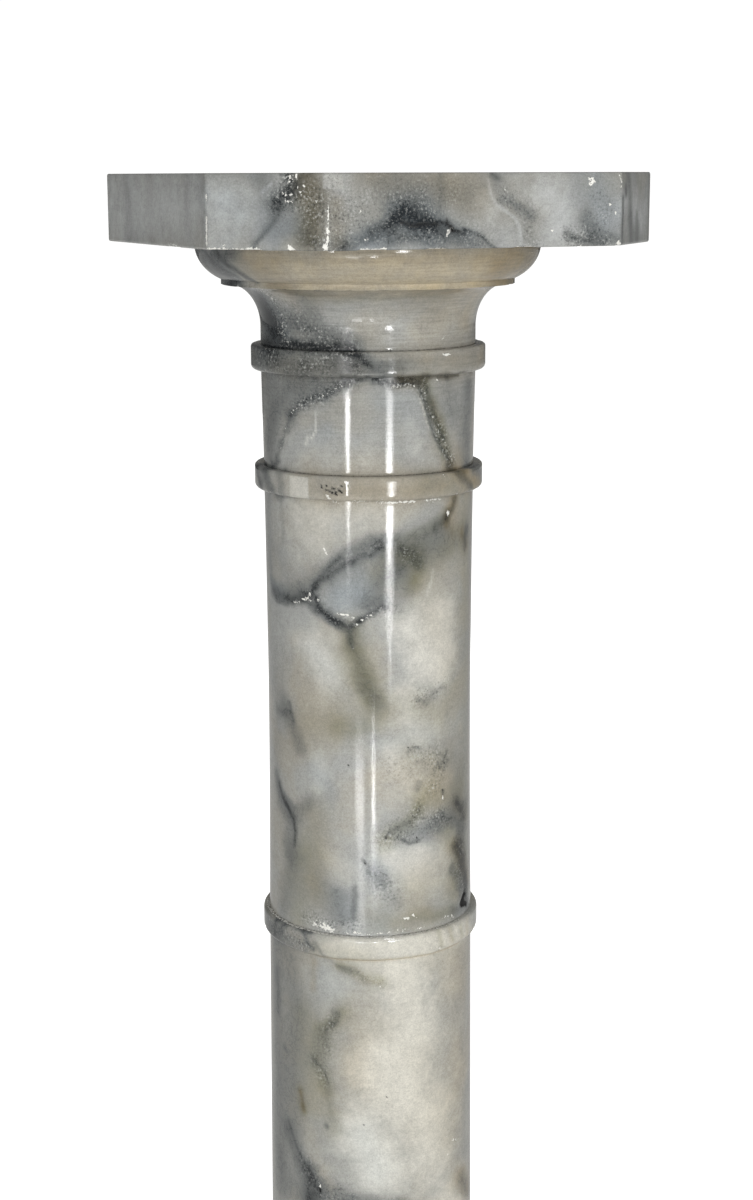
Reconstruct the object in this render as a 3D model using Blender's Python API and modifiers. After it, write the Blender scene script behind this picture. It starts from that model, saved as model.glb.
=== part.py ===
"""A veined alabaster column on a canted square plinth, under a canted square top plate.

Metres, +Z up. The origin is the middle of the plinth's underside, on the column's own axis.
Four cut stones stand on each other: the plinth, a turned lower block with the base, a turned
upper block with the capital, and the top plate. The radii all grow from the shaft's.
"""

import math

import bmesh
import bpy

# The bed between two stones
JOINT_GAP = 0.0003

# The shaft: its radius under the astragal, how far it draws in, and how far it spreads
SHAFT_RADIUS = 0.0660
UPPER_SHAFT_WAIST = 0.0010
UPPER_SHAFT_SPREAD = 0.0003
UPPER_SHAFT_HEIGHT = 0.2769
LOWER_SHAFT_SPREAD = 0.0017
LOWER_SHAFT_HEIGHT = 0.3172

# The capital, from the astragal up
ASTRAGAL_PROJECTION = 0.0058
ASTRAGAL_HEIGHT = 0.0150
NECK_SPREAD = 0.0010
NECK_HEIGHT = 0.0592
COLLAR_PROJECTION = 0.0062
COLLAR_HEIGHT = 0.0155
BELL_FOOT_HEIGHT = 0.0110
BELL_SPREAD = 0.0200
BELL_HEIGHT = 0.0260
CAPITAL_FILLET_PROJECTION = 0.0040
CAPITAL_FILLET_HEIGHT = 0.0035
OVOLO_FOOT_STEP = 0.0010
OVOLO_SPREAD = 0.0150
OVOLO_HEIGHT = 0.0213
OVOLO_SWEEP = math.radians(60)

# The belt on the head of the lower block
BELT_PROJECTION = 0.0039
BELT_HEIGHT = 0.0160

# The base, from the lower astragal down
FOOT_ASTRAGAL_PROJECTION = 0.0060
FOOT_ASTRAGAL_HEIGHT = 0.0150
FOOT_DRUM_HEIGHT = 0.0715
FLARE_SPREAD = 0.0220
FLARE_HEIGHT = 0.0260
BASE_FILLET_PROJECTION = 0.0040
BASE_FILLET_HEIGHT = 0.0035
TORUS_PROJECTION = 0.0180
TORUS_HEIGHT = 0.0250

# Every raised ring has these two soft corners
RING_HEAD_CORNER = 0.0016
RING_FOOT_CORNER = 0.0030

# The slabs: squares with their corners cut off, and how far they reach past the turned stone
PLINTH_OVERHANG = 0.0380
PLINTH_CORNER_CUT = 0.0760
PLINTH_THICKNESS = 0.0550
TOP_PLATE_OVERHANG = 0.0352
TOP_PLATE_CORNER_CUT = 0.0722
TOP_PLATE_THICKNESS = 0.0415
TOP_PLATE_SHIFT_X = 0.0034
TOP_PLATE_SHIFT_Y = -0.0015
SLAB_ARRIS_RADIUS = 0.0014
SLAB_ARRIS_SEGMENTS = 2

# Faces round the axis, and in each curve of a profile
TURN_STEPS = 48
CURVE_STEPS = 6
CORNER_STEPS = 3
SHAFT_STEPS = 4
MERGE_DISTANCE = 0.00001
SHARP_ANGLE = math.radians(35)


def stone_material(name, colour, roughness):
    """A plain polished stone colour."""
    material = bpy.data.materials.new(name)
    material.use_nodes = True
    shader = material.node_tree.nodes["Principled BSDF"]
    shader.inputs["Base Color"].default_value = (*colour, 1)
    shader.inputs["Roughness"].default_value = roughness
    shader.inputs["Metallic"].default_value = 0
    material.diffuse_color = (*colour, 1)
    return material


def ellipse_arc(centre, radii, start, end, steps):
    """Points (radius, height) along an ellipse's arc, from one angle to another above the outward direction."""
    angles = [start + (end - start) * i / steps for i in range(steps + 1)]
    return [(centre[0] + radii[0] * math.cos(a), centre[1] + radii[1] * math.sin(a)) for a in angles]


def ring(land, projection, head, height):
    """The outside of a raised ring on its land, from its upper corner down to its lower one."""
    radius = land + projection
    upper = min(RING_HEAD_CORNER, projection)
    lower = min(RING_FOOT_CORNER, projection)
    points = ellipse_arc((radius - upper, head - upper), (upper, upper), math.pi / 2, 0, CORNER_STEPS)
    points += ellipse_arc(
        (radius - lower, head - height + lower), (lower, lower), 0, -math.pi / 2, CORNER_STEPS)
    return points


def ovolo(foot_radius, spread, head, height):
    """The bulging moulding under the top plate: an arc that starts upright and turns in."""
    radii = (spread / (1 - math.cos(OVOLO_SWEEP)), height / math.sin(OVOLO_SWEEP))
    centre = (foot_radius + spread - radii[0], head)
    return ellipse_arc(centre, radii, 0, -OVOLO_SWEEP, CURVE_STEPS)


def hollow_below(foot_radius, spread, head, height):
    """A hollow that runs in and down, from a wide head to its foot."""
    centre = (foot_radius + spread, head - height)
    return ellipse_arc(centre, (spread, height), math.pi / 2, math.pi, CURVE_STEPS)


def hollow_above(head_radius, spread, head, height):
    """A hollow that runs down and out, from its head to a wide foot."""
    centre = (head_radius + spread, head)
    return ellipse_arc(centre, (spread, height), math.pi, 1.5 * math.pi, CURVE_STEPS)


def torus(radius, head, height):
    """The half-round cushion that the base ends in."""
    half = height / 2
    return ellipse_arc((radius - half, head - half), (half, half), math.pi / 2, -math.pi / 2, CURVE_STEPS)


def waisted_shaft(head_radius, spread, waist, head, height):
    """A shaft that spreads towards its foot and draws in softly between its ends."""
    fractions = [i / SHAFT_STEPS for i in range(SHAFT_STEPS + 1)]
    return [(head_radius + spread * t - 4 * waist * t * (1 - t), head - height * t) for t in fractions]


def shaft_joint_radius():
    """The radius that the two shafts share at the joint between them."""
    return SHAFT_RADIUS + UPPER_SHAFT_SPREAD


def torus_radius():
    """The widest radius of the base."""
    foot_radius = shaft_joint_radius() + LOWER_SHAFT_SPREAD
    return foot_radius + FLARE_SPREAD + BASE_FILLET_PROJECTION + TORUS_PROJECTION


def ovolo_foot_radius():
    """The radius at which the ovolo springs from its fillet."""
    return SHAFT_RADIUS + NECK_SPREAD + BELL_SPREAD + CAPITAL_FILLET_PROJECTION + OVOLO_FOOT_STEP


def lower_block_profile(foot):
    """The base, the lower shaft and its belt, from the top down, and the height of the top."""
    torus_head = foot + TORUS_HEIGHT
    fillet_head = torus_head + BASE_FILLET_HEIGHT
    flare_head = fillet_head + FLARE_HEIGHT
    drum_head = flare_head + FOOT_DRUM_HEIGHT
    shaft_foot = drum_head + FOOT_ASTRAGAL_HEIGHT
    shaft_head = shaft_foot + LOWER_SHAFT_HEIGHT
    head = shaft_head + BELT_HEIGHT
    head_radius = shaft_joint_radius()
    foot_radius = head_radius + LOWER_SHAFT_SPREAD
    fillet_radius = foot_radius + FLARE_SPREAD + BASE_FILLET_PROJECTION
    profile = [(0, head)]
    profile += ring(head_radius, BELT_PROJECTION, head, BELT_HEIGHT)
    profile += [(head_radius, shaft_head), (foot_radius, shaft_foot)]
    profile += ring(foot_radius, FOOT_ASTRAGAL_PROJECTION, shaft_foot, FOOT_ASTRAGAL_HEIGHT)
    profile += [(foot_radius, drum_head)]
    profile += hollow_above(foot_radius, FLARE_SPREAD, flare_head, FLARE_HEIGHT)
    profile += [(fillet_radius, fillet_head), (fillet_radius, torus_head)]
    profile += torus(torus_radius(), torus_head, TORUS_HEIGHT)
    profile += [(0, foot)]
    return profile, head


def upper_block_profile(foot):
    """The upper shaft and the capital, from the top down, and the height of the top."""
    shaft_head = foot + UPPER_SHAFT_HEIGHT
    neck_foot = shaft_head + ASTRAGAL_HEIGHT
    collar_foot = neck_foot + NECK_HEIGHT
    collar_head = collar_foot + COLLAR_HEIGHT
    bell_foot = collar_head + BELL_FOOT_HEIGHT
    fillet_foot = bell_foot + BELL_HEIGHT
    ovolo_foot = fillet_foot + CAPITAL_FILLET_HEIGHT
    head = ovolo_foot + OVOLO_HEIGHT
    neck_head_radius = SHAFT_RADIUS + NECK_SPREAD
    fillet_radius = ovolo_foot_radius() - OVOLO_FOOT_STEP
    profile = [(0, head)]
    profile += ovolo(ovolo_foot_radius(), OVOLO_SPREAD, head, OVOLO_HEIGHT)
    profile += [(fillet_radius, ovolo_foot), (fillet_radius, fillet_foot)]
    profile += hollow_below(neck_head_radius, BELL_SPREAD, fillet_foot, BELL_HEIGHT)
    profile += [(neck_head_radius, collar_head)]
    profile += ring(neck_head_radius, COLLAR_PROJECTION, collar_head, COLLAR_HEIGHT)
    profile += [(neck_head_radius, collar_foot), (SHAFT_RADIUS, neck_foot)]
    profile += ring(SHAFT_RADIUS, ASTRAGAL_PROJECTION, neck_foot, ASTRAGAL_HEIGHT)
    profile += waisted_shaft(
        SHAFT_RADIUS, UPPER_SHAFT_SPREAD, UPPER_SHAFT_WAIST, shaft_head, UPPER_SHAFT_HEIGHT)
    profile += [(0, foot)]
    return profile, head


def add_piece(name, mesh, material, collection):
    """Links a mesh as a named object with its material."""
    piece = bpy.data.objects.new(name, mesh)
    mesh.materials.append(material)
    collection.objects.link(piece)
    return piece


def turned_stone(name, profile, material, collection):
    """A stone turned on the lathe: its profile, swept once round the column's axis."""
    outline = bmesh.new()
    corners = [outline.verts.new((radius, 0, height)) for radius, height in profile]
    for upper, lower in zip(corners, corners[1:]):
        outline.edges.new((upper, lower))
    half_section = bpy.data.meshes.new(name + "_half_section")
    outline.to_mesh(half_section)
    outline.free()
    piece = add_piece(name, half_section, material, collection)
    sweep = piece.modifiers.new("Sweep round the axis", "SCREW")
    sweep.axis = "Z"
    sweep.steps = TURN_STEPS
    sweep.render_steps = TURN_STEPS
    sweep.use_merge_vertices = True
    sweep.merge_threshold = MERGE_DISTANCE
    swept = piece.evaluated_get(bpy.context.evaluated_depsgraph_get())
    piece.data = bpy.data.meshes.new_from_object(swept)
    piece.modifiers.remove(sweep)
    piece.data.name = name
    piece.data.shade_smooth()
    piece.data.set_sharp_from_angle(angle=SHARP_ANGLE)
    bpy.data.meshes.remove(half_section)
    return piece


def canted_slab(name, reach, corner_cut, thickness, place, material, collection):
    """A square slab with its corners cut off at 45 degrees and its arrises softened."""
    block = bmesh.new()
    bmesh.ops.create_cube(block, size=1)
    bmesh.ops.scale(block, vec=(2 * reach, 2 * reach, thickness), verts=block.verts)
    uprights = [e for e in block.edges if abs(e.verts[0].co.z - e.verts[1].co.z) > thickness / 2]
    bmesh.ops.bevel(
        block, geom=uprights, offset=corner_cut / math.sqrt(2), offset_type="OFFSET",
        segments=1, profile=0.5, affect="EDGES", material=-1)
    mesh = bpy.data.meshes.new(name)
    block.to_mesh(mesh)
    block.free()
    piece = add_piece(name, mesh, material, collection)
    piece.location = (place[0], place[1], place[2] + thickness / 2)
    arrises = piece.modifiers.new("Softened arrises", "BEVEL")
    arrises.width = SLAB_ARRIS_RADIUS
    arrises.segments = SLAB_ARRIS_SEGMENTS
    return piece


def main():
    """Stacks the four stones from the floor up."""
    for old in list(bpy.data.objects):
        bpy.data.objects.remove(old)
    column = bpy.data.collections.new("Alabaster column")
    bpy.context.scene.collection.children.link(column)
    grey_stone = stone_material("Grey alabaster", (0.33, 0.33, 0.32), 0.3)
    pale_stone = stone_material("Veined alabaster", (0.47, 0.46, 0.42), 0.25)

    canted_slab(
        "plinth", torus_radius() + PLINTH_OVERHANG, PLINTH_CORNER_CUT, PLINTH_THICKNESS,
        (0, 0, 0), grey_stone, column)
    profile, lower_block_head = lower_block_profile(PLINTH_THICKNESS + JOINT_GAP)
    turned_stone("lower_shaft_and_base", profile, pale_stone, column)
    profile, upper_block_head = upper_block_profile(lower_block_head + JOINT_GAP)
    turned_stone("upper_shaft_and_capital", profile, pale_stone, column)
    canted_slab(
        "top_plate", ovolo_foot_radius() + OVOLO_SPREAD + TOP_PLATE_OVERHANG, TOP_PLATE_CORNER_CUT,
        TOP_PLATE_THICKNESS, (TOP_PLATE_SHIFT_X, TOP_PLATE_SHIFT_Y, upper_block_head + JOINT_GAP),
        grey_stone, column)


main()
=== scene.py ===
# %% [markdown]
# # A veined alabaster column
#
# The real object is a display column in alabaster, a soft stone that is turned on a lathe
# like wood and polished until it shines. Four stones stand on each other: a canted plinth,
# a lower drum with the base, an upper drum with the capital, and a canted top plate.
# Blender could dress the plain construction solids with a material alone. Here each stone
# is modelled again on a finer mesh, because the photo's veins, chips and plaster need
# points to live on.

# %% Load the frame
import math

import bmesh
import bpy
import numpy as np
from mathutils import Matrix, Vector, noise


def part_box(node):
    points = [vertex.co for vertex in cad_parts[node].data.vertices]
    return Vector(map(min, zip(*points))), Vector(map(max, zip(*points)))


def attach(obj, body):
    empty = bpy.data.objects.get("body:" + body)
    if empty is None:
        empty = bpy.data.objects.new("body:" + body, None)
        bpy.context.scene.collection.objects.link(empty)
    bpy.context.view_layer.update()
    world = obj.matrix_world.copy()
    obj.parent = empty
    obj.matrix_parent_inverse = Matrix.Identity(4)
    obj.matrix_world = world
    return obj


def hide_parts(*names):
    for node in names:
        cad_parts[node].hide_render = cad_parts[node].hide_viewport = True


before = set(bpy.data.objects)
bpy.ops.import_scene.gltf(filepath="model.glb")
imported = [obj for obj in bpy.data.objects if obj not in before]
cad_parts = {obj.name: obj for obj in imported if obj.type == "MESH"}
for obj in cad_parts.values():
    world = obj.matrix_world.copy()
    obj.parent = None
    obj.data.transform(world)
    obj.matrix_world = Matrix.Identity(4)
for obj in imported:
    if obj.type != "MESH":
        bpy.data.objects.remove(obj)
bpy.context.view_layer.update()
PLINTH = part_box("plinth")
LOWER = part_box("lower_shaft_and_base")
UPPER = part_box("upper_shaft_and_capital")
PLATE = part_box("top_plate")

# %% [markdown]
# ## The camera
#
# The photo was taken from the height of the top plate, looking down the shaft. Rings on a
# column show as ellipses, and how fast they open towards the foot gives the distance and
# the focal length. The plate's corners give the turn: its wide side looks a little to the
# right of the camera. The camera is set with three axes instead of angles, so the small
# roll and the small aim off the shaft stay easy to read.

# %% Place the camera
FRONT = math.radians(-24.2)
EYE_ABOVE_PLATE = -0.0015
CAMERA_DISTANCE = 1.2811
CAMERA_PITCH = 0.2051
CAMERA_ROLL = -0.0032
CAMERA_AIM_RIGHT = 0.0037
LENS = 61.24


def from_front(angle, distance, height):
    """A point seen from above: an angle to the viewer's right of the front, a distance and a height."""
    turn = FRONT + angle
    return Vector((math.sin(turn) * distance, -math.cos(turn) * distance, height))


def place_camera():
    """A camera that looks at the column as the photo does."""
    camera = bpy.data.objects.new("camera", bpy.data.cameras.new("camera"))
    bpy.context.scene.collection.objects.link(camera)
    camera.data.lens = LENS
    heading = FRONT - CAMERA_AIM_RIGHT
    ahead = Vector((-math.sin(heading), math.cos(heading), 0))
    forward = ahead * math.cos(CAMERA_PITCH) - Vector((0, 0, math.sin(CAMERA_PITCH)))
    level_right = Vector((math.cos(heading), math.sin(heading), 0))
    level_up = level_right.cross(forward)
    right = level_right * math.cos(CAMERA_ROLL) + level_up * math.sin(CAMERA_ROLL)
    up = level_up * math.cos(CAMERA_ROLL) - level_right * math.sin(CAMERA_ROLL)
    turned = Matrix((right, up, -forward)).transposed().to_4x4()
    eye = from_front(0, CAMERA_DISTANCE, PLATE[1][2] + EYE_ABOVE_PLATE)
    camera.matrix_world = Matrix.Translation(eye) @ turned
    bpy.context.scene.camera = camera
    return camera


camera = place_camera()
print("camera at", [round(v, 3) for v in camera.matrix_world.translation])

# %% [markdown]
# ## Light, floor and backdrop
#
# Polished stone shows its lights as much as its colour. In the photo a broad soft light
# models the shaft, and the mirror images of two lamps run down it as white lines. On a
# round shaft such an image stands at half the light's own angle. Each line changes in
# width and strength on its way down, so it is made of a few strips, one over the other,
# and a broader glow and a fine thread of light stand low on the upper drum. All of these
# only show in the polish. The wide light in front and the weak one behind do the
# opposite: they light the stone and stay out of its mirror images, where they would lay a
# veil over the veins.

# %% Light the column
LIGHT_DISTANCE = 2.5
NEAR_LIGHT_DISTANCE = 1.2


def area_light(name, angle, distance, heights, width, power, mirrored):
    """A rectangular light that faces the column's axis, from one height to another."""
    low, high = heights
    light = bpy.data.objects.new(name, bpy.data.lights.new(name, "AREA"))
    light.data.shape = "RECTANGLE"
    light.data.size = width
    light.data.size_y = high - low
    light.data.energy = power
    bpy.context.scene.collection.objects.link(light)
    place = from_front(math.radians(angle), distance, (low + high) / 2)
    facing = Matrix.Rotation(FRONT + math.radians(angle), 4, "Z") @ Matrix.Rotation(math.pi / 2, 4, "X")
    light.matrix_world = Matrix.Translation(place) @ facing
    light.visible_camera = False
    light.visible_glossy = mirrored
    light.visible_diffuse = not mirrored
    return light


# A name, an angle to the right of the front in degrees, a distance, the heights it spans,
# its width in metres and its power in watts.
SOFT_LIGHTS = [
    ("wide soft light", 8, 2.6, (0.2, 2.0), 1.7, 49),
    ("soft light behind", 180, 3.2, (0.3, 1.9), 0.9, 15),
]
STRIP_LIGHTS = [
    ("right strip, top", 22.5, LIGHT_DISTANCE, (0.575, 0.650), 0.22, 0.34),
    ("right strip, upper", 22.5, LIGHT_DISTANCE, (0.40, 0.565), 0.27, 1.5),
    ("right strip, middle", 22.3, LIGHT_DISTANCE, (0.29, 0.40), 0.26, 3.9),
    ("right strip, lower", 22.0, LIGHT_DISTANCE, (0.20, 0.29), 0.15, 1.0),
    ("right strip, end", 23.0, LIGHT_DISTANCE, (0.10, 0.20), 0.14, 0.34),
    ("left strip, top", -21.8, LIGHT_DISTANCE, (0.565, 0.69), 0.11, 0.28),
    ("left strip, upper", -21.8, LIGHT_DISTANCE, (0.44, 0.565), 0.11, 2.4),
    ("left strip, lower", -22.0, LIGHT_DISTANCE, (0.31, 0.44), 0.07, 0.78),
    ("low glow, top", -12.0, NEAR_LIGHT_DISTANCE, (0.30, 0.335), 0.18, 0.10),
    ("low glow, middle", -11.0, NEAR_LIGHT_DISTANCE, (0.25, 0.30), 0.19, 0.30),
    ("low glow, lower", -9.4, NEAR_LIGHT_DISTANCE, (0.10, 0.25), 0.12, 0.17),
    ("low thread", 4.0, NEAR_LIGHT_DISTANCE, (0.205, 0.345), 0.018, 0.50),
]
for light in SOFT_LIGHTS:
    area_light(*light, mirrored=False)
for light in STRIP_LIGHTS:
    area_light(*light, mirrored=True)
print(len(SOFT_LIGHTS), "soft lights and", len(STRIP_LIGHTS), "strips")

# %% Build the backdrop and the floor
BACKDROP_SEEN = 1.05
BACKDROP_LIGHT = 0.45
BACKDROP_MIRRORED = 0.11
FLOOR_SIZE = 14
FLOOR_PAINT = (0.8, 0.8, 0.79, 1)
FLOOR_ROUGHNESS = 0.9
FLOOR_GLOW = 0.9
STUDIO_WHITE = (1, 1, 0.99, 1)


def light_backdrop():
    """A white backdrop that lights the stone softly and shows in its polish as a dark grey."""
    world = bpy.data.worlds.new("backdrop")
    world.use_nodes = True
    tree = world.node_tree
    path = tree.nodes.new("ShaderNodeLightPath")
    glossy = tree.nodes.new("ShaderNodeMix")
    glossy.inputs["A"].default_value = BACKDROP_LIGHT
    glossy.inputs["B"].default_value = BACKDROP_MIRRORED
    tree.links.new(path.outputs["Is Glossy Ray"], glossy.inputs["Factor"])
    seen = tree.nodes.new("ShaderNodeMix")
    seen.inputs["B"].default_value = BACKDROP_SEEN
    tree.links.new(path.outputs["Is Camera Ray"], seen.inputs["Factor"])
    tree.links.new(glossy.outputs["Result"], seen.inputs["A"])
    sky = tree.nodes["Background"]
    sky.inputs["Color"].default_value = STUDIO_WHITE
    tree.links.new(seen.outputs["Result"], sky.inputs["Strength"])
    bpy.context.scene.world = world


def floor_white():
    """A pale matt paint that glows for the camera alone, so the floor melts into the backdrop."""
    material = bpy.data.materials.new("floor white")
    material.use_nodes = True
    tree = material.node_tree
    shader = tree.nodes["Principled BSDF"]
    shader.inputs["Base Color"].default_value = FLOOR_PAINT
    shader.inputs["Roughness"].default_value = FLOOR_ROUGHNESS
    shader.inputs["Specular IOR Level"].default_value = 0
    shader.inputs["Emission Color"].default_value = STUDIO_WHITE
    path = tree.nodes.new("ShaderNodeLightPath")
    glow = tree.nodes.new("ShaderNodeMath")
    glow.operation = "MULTIPLY"
    glow.inputs[1].default_value = FLOOR_GLOW
    tree.links.new(path.outputs["Is Camera Ray"], glow.inputs[0])
    tree.links.new(glow.outputs[0], shader.inputs["Emission Strength"])
    return material


def lay_floor():
    """A wide pale floor."""
    bm = bmesh.new()
    bmesh.ops.create_grid(bm, x_segments=1, y_segments=1, size=FLOOR_SIZE / 2)
    mesh = bpy.data.meshes.new("floor")
    bm.to_mesh(mesh)
    bm.free()
    mesh.materials.append(floor_white())
    floor = bpy.data.objects.new("floor", mesh)
    bpy.context.scene.collection.objects.link(floor)


light_backdrop()
lay_floor()
bpy.context.scene.view_settings.view_transform = "Standard"
print("floor", FLOOR_SIZE, "m wide")

# %% [markdown]
# ## Reading a place on the stone
#
# A vein is easiest to describe by where it runs: so many degrees to the right of the front
# and so high, in millimetres. For measuring, the round stone is unrolled flat, so an angle
# becomes a length along the surface. The stone also needs rough, cloudy edges, so places
# are shaken a little with a smooth noise before a distance is measured.

# %% Unroll and shake
SHAFT_RADIUS_MM = 66.0
FULL_TURN_MM = 2 * math.pi * SHAFT_RADIUS_MM
SEED_STEPS = (7.3, 3.1, 5.7)

# Without a seed this noise would start somewhere else in each run.
noise.seed_set(7)


def unrolled(angle):
    """The length in millimetres along the shaft's surface for an angle in degrees."""
    return math.radians(angle) * SHAFT_RADIUS_MM


def shaken(places, seed, reach, grain):
    """A smooth shift for each place, in millimetres: reach is how far, grain the size of its swirls."""
    offset = Vector([seed * step for step in SEED_STEPS])
    shifts = [noise.noise_vector(Vector(place) + offset) for place in (places / grain).tolist()]
    return np.array(shifts) * reach


def swirled(places, seed, swirls):
    """Wide swirls and small ones together, each with its reach and its grain."""
    return sum(shaken(places, seed + i, reach, grain) for i, (reach, grain) in enumerate(swirls))


print("once round the shaft", round(FULL_TURN_MM, 1), "mm")

# %% Measure how far a path is
FAR_AWAY = 1e6
SHORTEST_RUN = 1e-9


def path_distance(along, height, points):
    """How far each place lies from a path of points, in millimetres."""
    best = np.full(len(along), FAR_AWAY)
    ends = points if len(points) > 1 else points * 2
    for (x0, y0), (x1, y1) in zip(ends, ends[1:]):
        run = np.array((x1 - x0, y1 - y0))
        length = max(float(run @ run), SHORTEST_RUN)
        share = np.clip(((along - x0) * run[0] + (height - y0) * run[1]) / length, 0, 1)
        best = np.minimum(best, np.hypot(along - x0 - share * run[0], height - y0 - share * run[1]))
    return best


# %% [markdown]
# ## Layers of colour
#
# Alabaster is nearly white. Clay in it makes slate-blue clouds and lines, iron makes brown
# and olive ones, and coarse crystals sparkle like salt and pepper. Wear adds chips,
# plaster and black dirt, and the lathe leaves fine streaks. The layer of black dirt also
# holds painted shade: a thin dark line in the corner above each ring. Each of these is one
# layer here: a number from 0 to 1 at every point of the mesh, which the material reads by
# name. A mark is a soft-edged stroke on one layer, and strokes add up without passing 1.

# %% Lay marks into layers
# One of these layers holds both black dirt and the painted shade in the ring corners.
LAYERS = ("slate", "brown", "olive", "pale", "cool", "grit", "chalk", "soot_and_shade", "turning")
MARK_REACH = 3.0


def empty_layers(places):
    """Every layer at 0, for each place."""
    return {name: np.zeros(len(places)) for name in LAYERS}


def add_mark(layers, layer, amount):
    """Adds a stroke to a layer, so that overlaps stay between 0 and 1."""
    layers[layer] = 1 - (1 - layers[layer]) * (1 - np.clip(amount, 0, 1))


def lay_marks(layers, along, height, marks, turn):
    """Lays marks: each is a layer, a strength, a half width in millimetres and its points."""
    for layer, strength, half_width, points in marks:
        across = [x for x, _ in points]
        middle = (min(across) + max(across)) / 2
        wrapped = (along - middle + turn / 2) % turn - turn / 2 + middle
        room = MARK_REACH * half_width
        near = (wrapped > min(across) - room) & (wrapped < max(across) + room)
        near &= (height > min(y for _, y in points) - room) & (height < max(y for _, y in points) + room)
        if near.any():
            distance = path_distance(wrapped[near], height[near], points)
            amount = strength * np.exp(-((distance / half_width) ** 2))
            layers[layer][near] = 1 - (1 - layers[layer][near]) * (1 - amount)


def bare_patch(layers, where, values):
    """Lays a plain patch, such as a label leaves behind, by setting some layers to one value."""
    for name, value in values.items():
        layers[name][where] = value


print(len(LAYERS), "layers")

# %% Keep layers and hollows on a mesh


def store_layers(mesh, layers):
    """Keeps the layers on the mesh, one number per point, for the material to read."""
    for name in LAYERS:
        attribute = mesh.attributes.new(name, "FLOAT", "POINT")
        attribute.data.foreach_set("value", layers[name].astype(np.float32))


def mesh_values(mesh, field):
    """One vector per point of the mesh, its place or its normal, as an array."""
    values = np.empty(len(mesh.vertices) * 3, dtype=np.float32)
    mesh.vertices.foreach_get(field, values)
    return values.reshape(-1, 3).astype(float)


def sink(mesh, depth):
    """Lowers the surface by a depth at every point, in metres, for chips and crumbled spots."""
    places = mesh_values(mesh, "co") - mesh_values(mesh, "normal") * depth[:, None]
    mesh.vertices.foreach_set("co", places.astype(np.float32).ravel())
    mesh.update()


# %% [markdown]
# ## The stone's finish
#
# One node group mixes the layers into colour, roughness and height, and each stone's own
# material holds the shader and its own tints. The group works in the object's own
# coordinates, so its clouds run through the stone from one side to the other, as real
# veins do. Noises of several sizes, from broad clouds to crystals and grains, decide where
# a soft layer ends, which gives crisp, crumbly edges that the mesh alone is too coarse to
# carry.

# %% Helpers for nodes
NOISE_MIDDLE = 0.5


def put(tree, kind, inputs, **settings):
    """Adds a node with its settings, and sets or links its inputs."""
    made = tree.nodes.new(kind)
    for key, value in settings.items():
        setattr(made, key, value)
    for key, value in inputs.items():
        if isinstance(value, bpy.types.NodeSocket):
            tree.links.new(value, made.inputs[key])
        else:
            made.inputs[key].default_value = value
    return made


def sums(tree, operation, first, second):
    """A Math node's result."""
    return put(tree, "ShaderNodeMath", {0: first, 1: second}, operation=operation).outputs[0]


def step_up(tree, value, low, high):
    """A soft step from 0 at low to 1 at high."""
    inputs = {"Value": value, "From Min": low, "From Max": high}
    return put(tree, "ShaderNodeMapRange", inputs, interpolation_type="SMOOTHSTEP").outputs[0]


def tint(tree, factor, under, over):
    """One colour laid over another."""
    return put(tree, "ShaderNodeMix", {0: factor, 6: under, 7: over}, data_type="RGBA").outputs[2]


def filtered(tree, factor, colour, glass):
    """A colour seen through a tinted glass."""
    inputs = {0: factor, 6: colour, 7: glass}
    return put(tree, "ShaderNodeMix", inputs, data_type="RGBA", blend_type="MULTIPLY").outputs[2]


def cloud(tree, place, scale, detail, roughness):
    """Noise between 0 and 1."""
    inputs = {"Vector": place, "Scale": scale, "Detail": detail, "Roughness": roughness}
    return put(tree, "ShaderNodeTexNoise", inputs).outputs["Fac"]


def plus(tree, first, second, amount):
    """The first value plus an amount of the second."""
    return sums(tree, "ADD", first, sums(tree, "MULTIPLY", second, amount))


def wavering(tree, value, wave, amount):
    """A value that a noise raises and lowers, as the noise is over or under its middle."""
    return plus(tree, value, sums(tree, "SUBTRACT", wave, NOISE_MIDDLE), amount)


def group_with(name, inputs, outputs):
    """An empty shader group with named sockets, its input node and its output node."""
    group = bpy.data.node_groups.new(name, "ShaderNodeTree")
    for socket, kind in inputs:
        group.interface.new_socket(socket, in_out="INPUT", socket_type=kind)
    for socket, kind in outputs:
        group.interface.new_socket(socket, in_out="OUTPUT", socket_type=kind)
    return group, group.nodes.new("NodeGroupInput"), group.nodes.new("NodeGroupOutput")


# %% Noises that run through the stone
FOLD_SCALE = 14.0
FOLD_DETAIL = 2.0
FOLD_REACH = 0.035
LATHE_STRETCH = (0.06, 0.06, 1.0)
# Each noise has its scale, its detail and its roughness.
NOISES = {
    "broad": (22.0, 3.0, 0.5),
    "middle": (75.0, 5.0, 0.65),
    "fibre": (110.0, 4.0, 0.6),
    "fine": (360.0, 3.0, 0.65),
    "crystal": (640.0, 2.0, 0.7),
    "lathe": (800.0, 2.0, 0.6),
    "grain": (1100.0, 3.0, 0.75),
}
FOLDED_NOISES = ("broad", "middle", "fibre")


def stone_noises(tree):
    """The noises by name: the broad ones fold as clay does, and the lathe's lie level."""
    place = put(tree, "ShaderNodeTexCoord", {}).outputs["Object"]
    swirl = {"Vector": place, "Scale": FOLD_SCALE, "Detail": FOLD_DETAIL}
    swirl = put(tree, "ShaderNodeTexNoise", swirl).outputs["Color"]
    shift = put(tree, "ShaderNodeVectorMath", {0: swirl, "Scale": FOLD_REACH}, operation="SCALE").outputs[0]
    folded = put(tree, "ShaderNodeVectorMath", {0: place, 1: shift}, operation="ADD").outputs[0]
    places = {name: folded for name in FOLDED_NOISES}
    places["lathe"] = put(tree, "ShaderNodeMapping", {"Vector": place, "Scale": LATHE_STRETCH}).outputs[0]
    return {name: cloud(tree, places.get(name, place), *values) for name, values in NOISES.items()}


print(len(NOISES), "noises")

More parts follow.
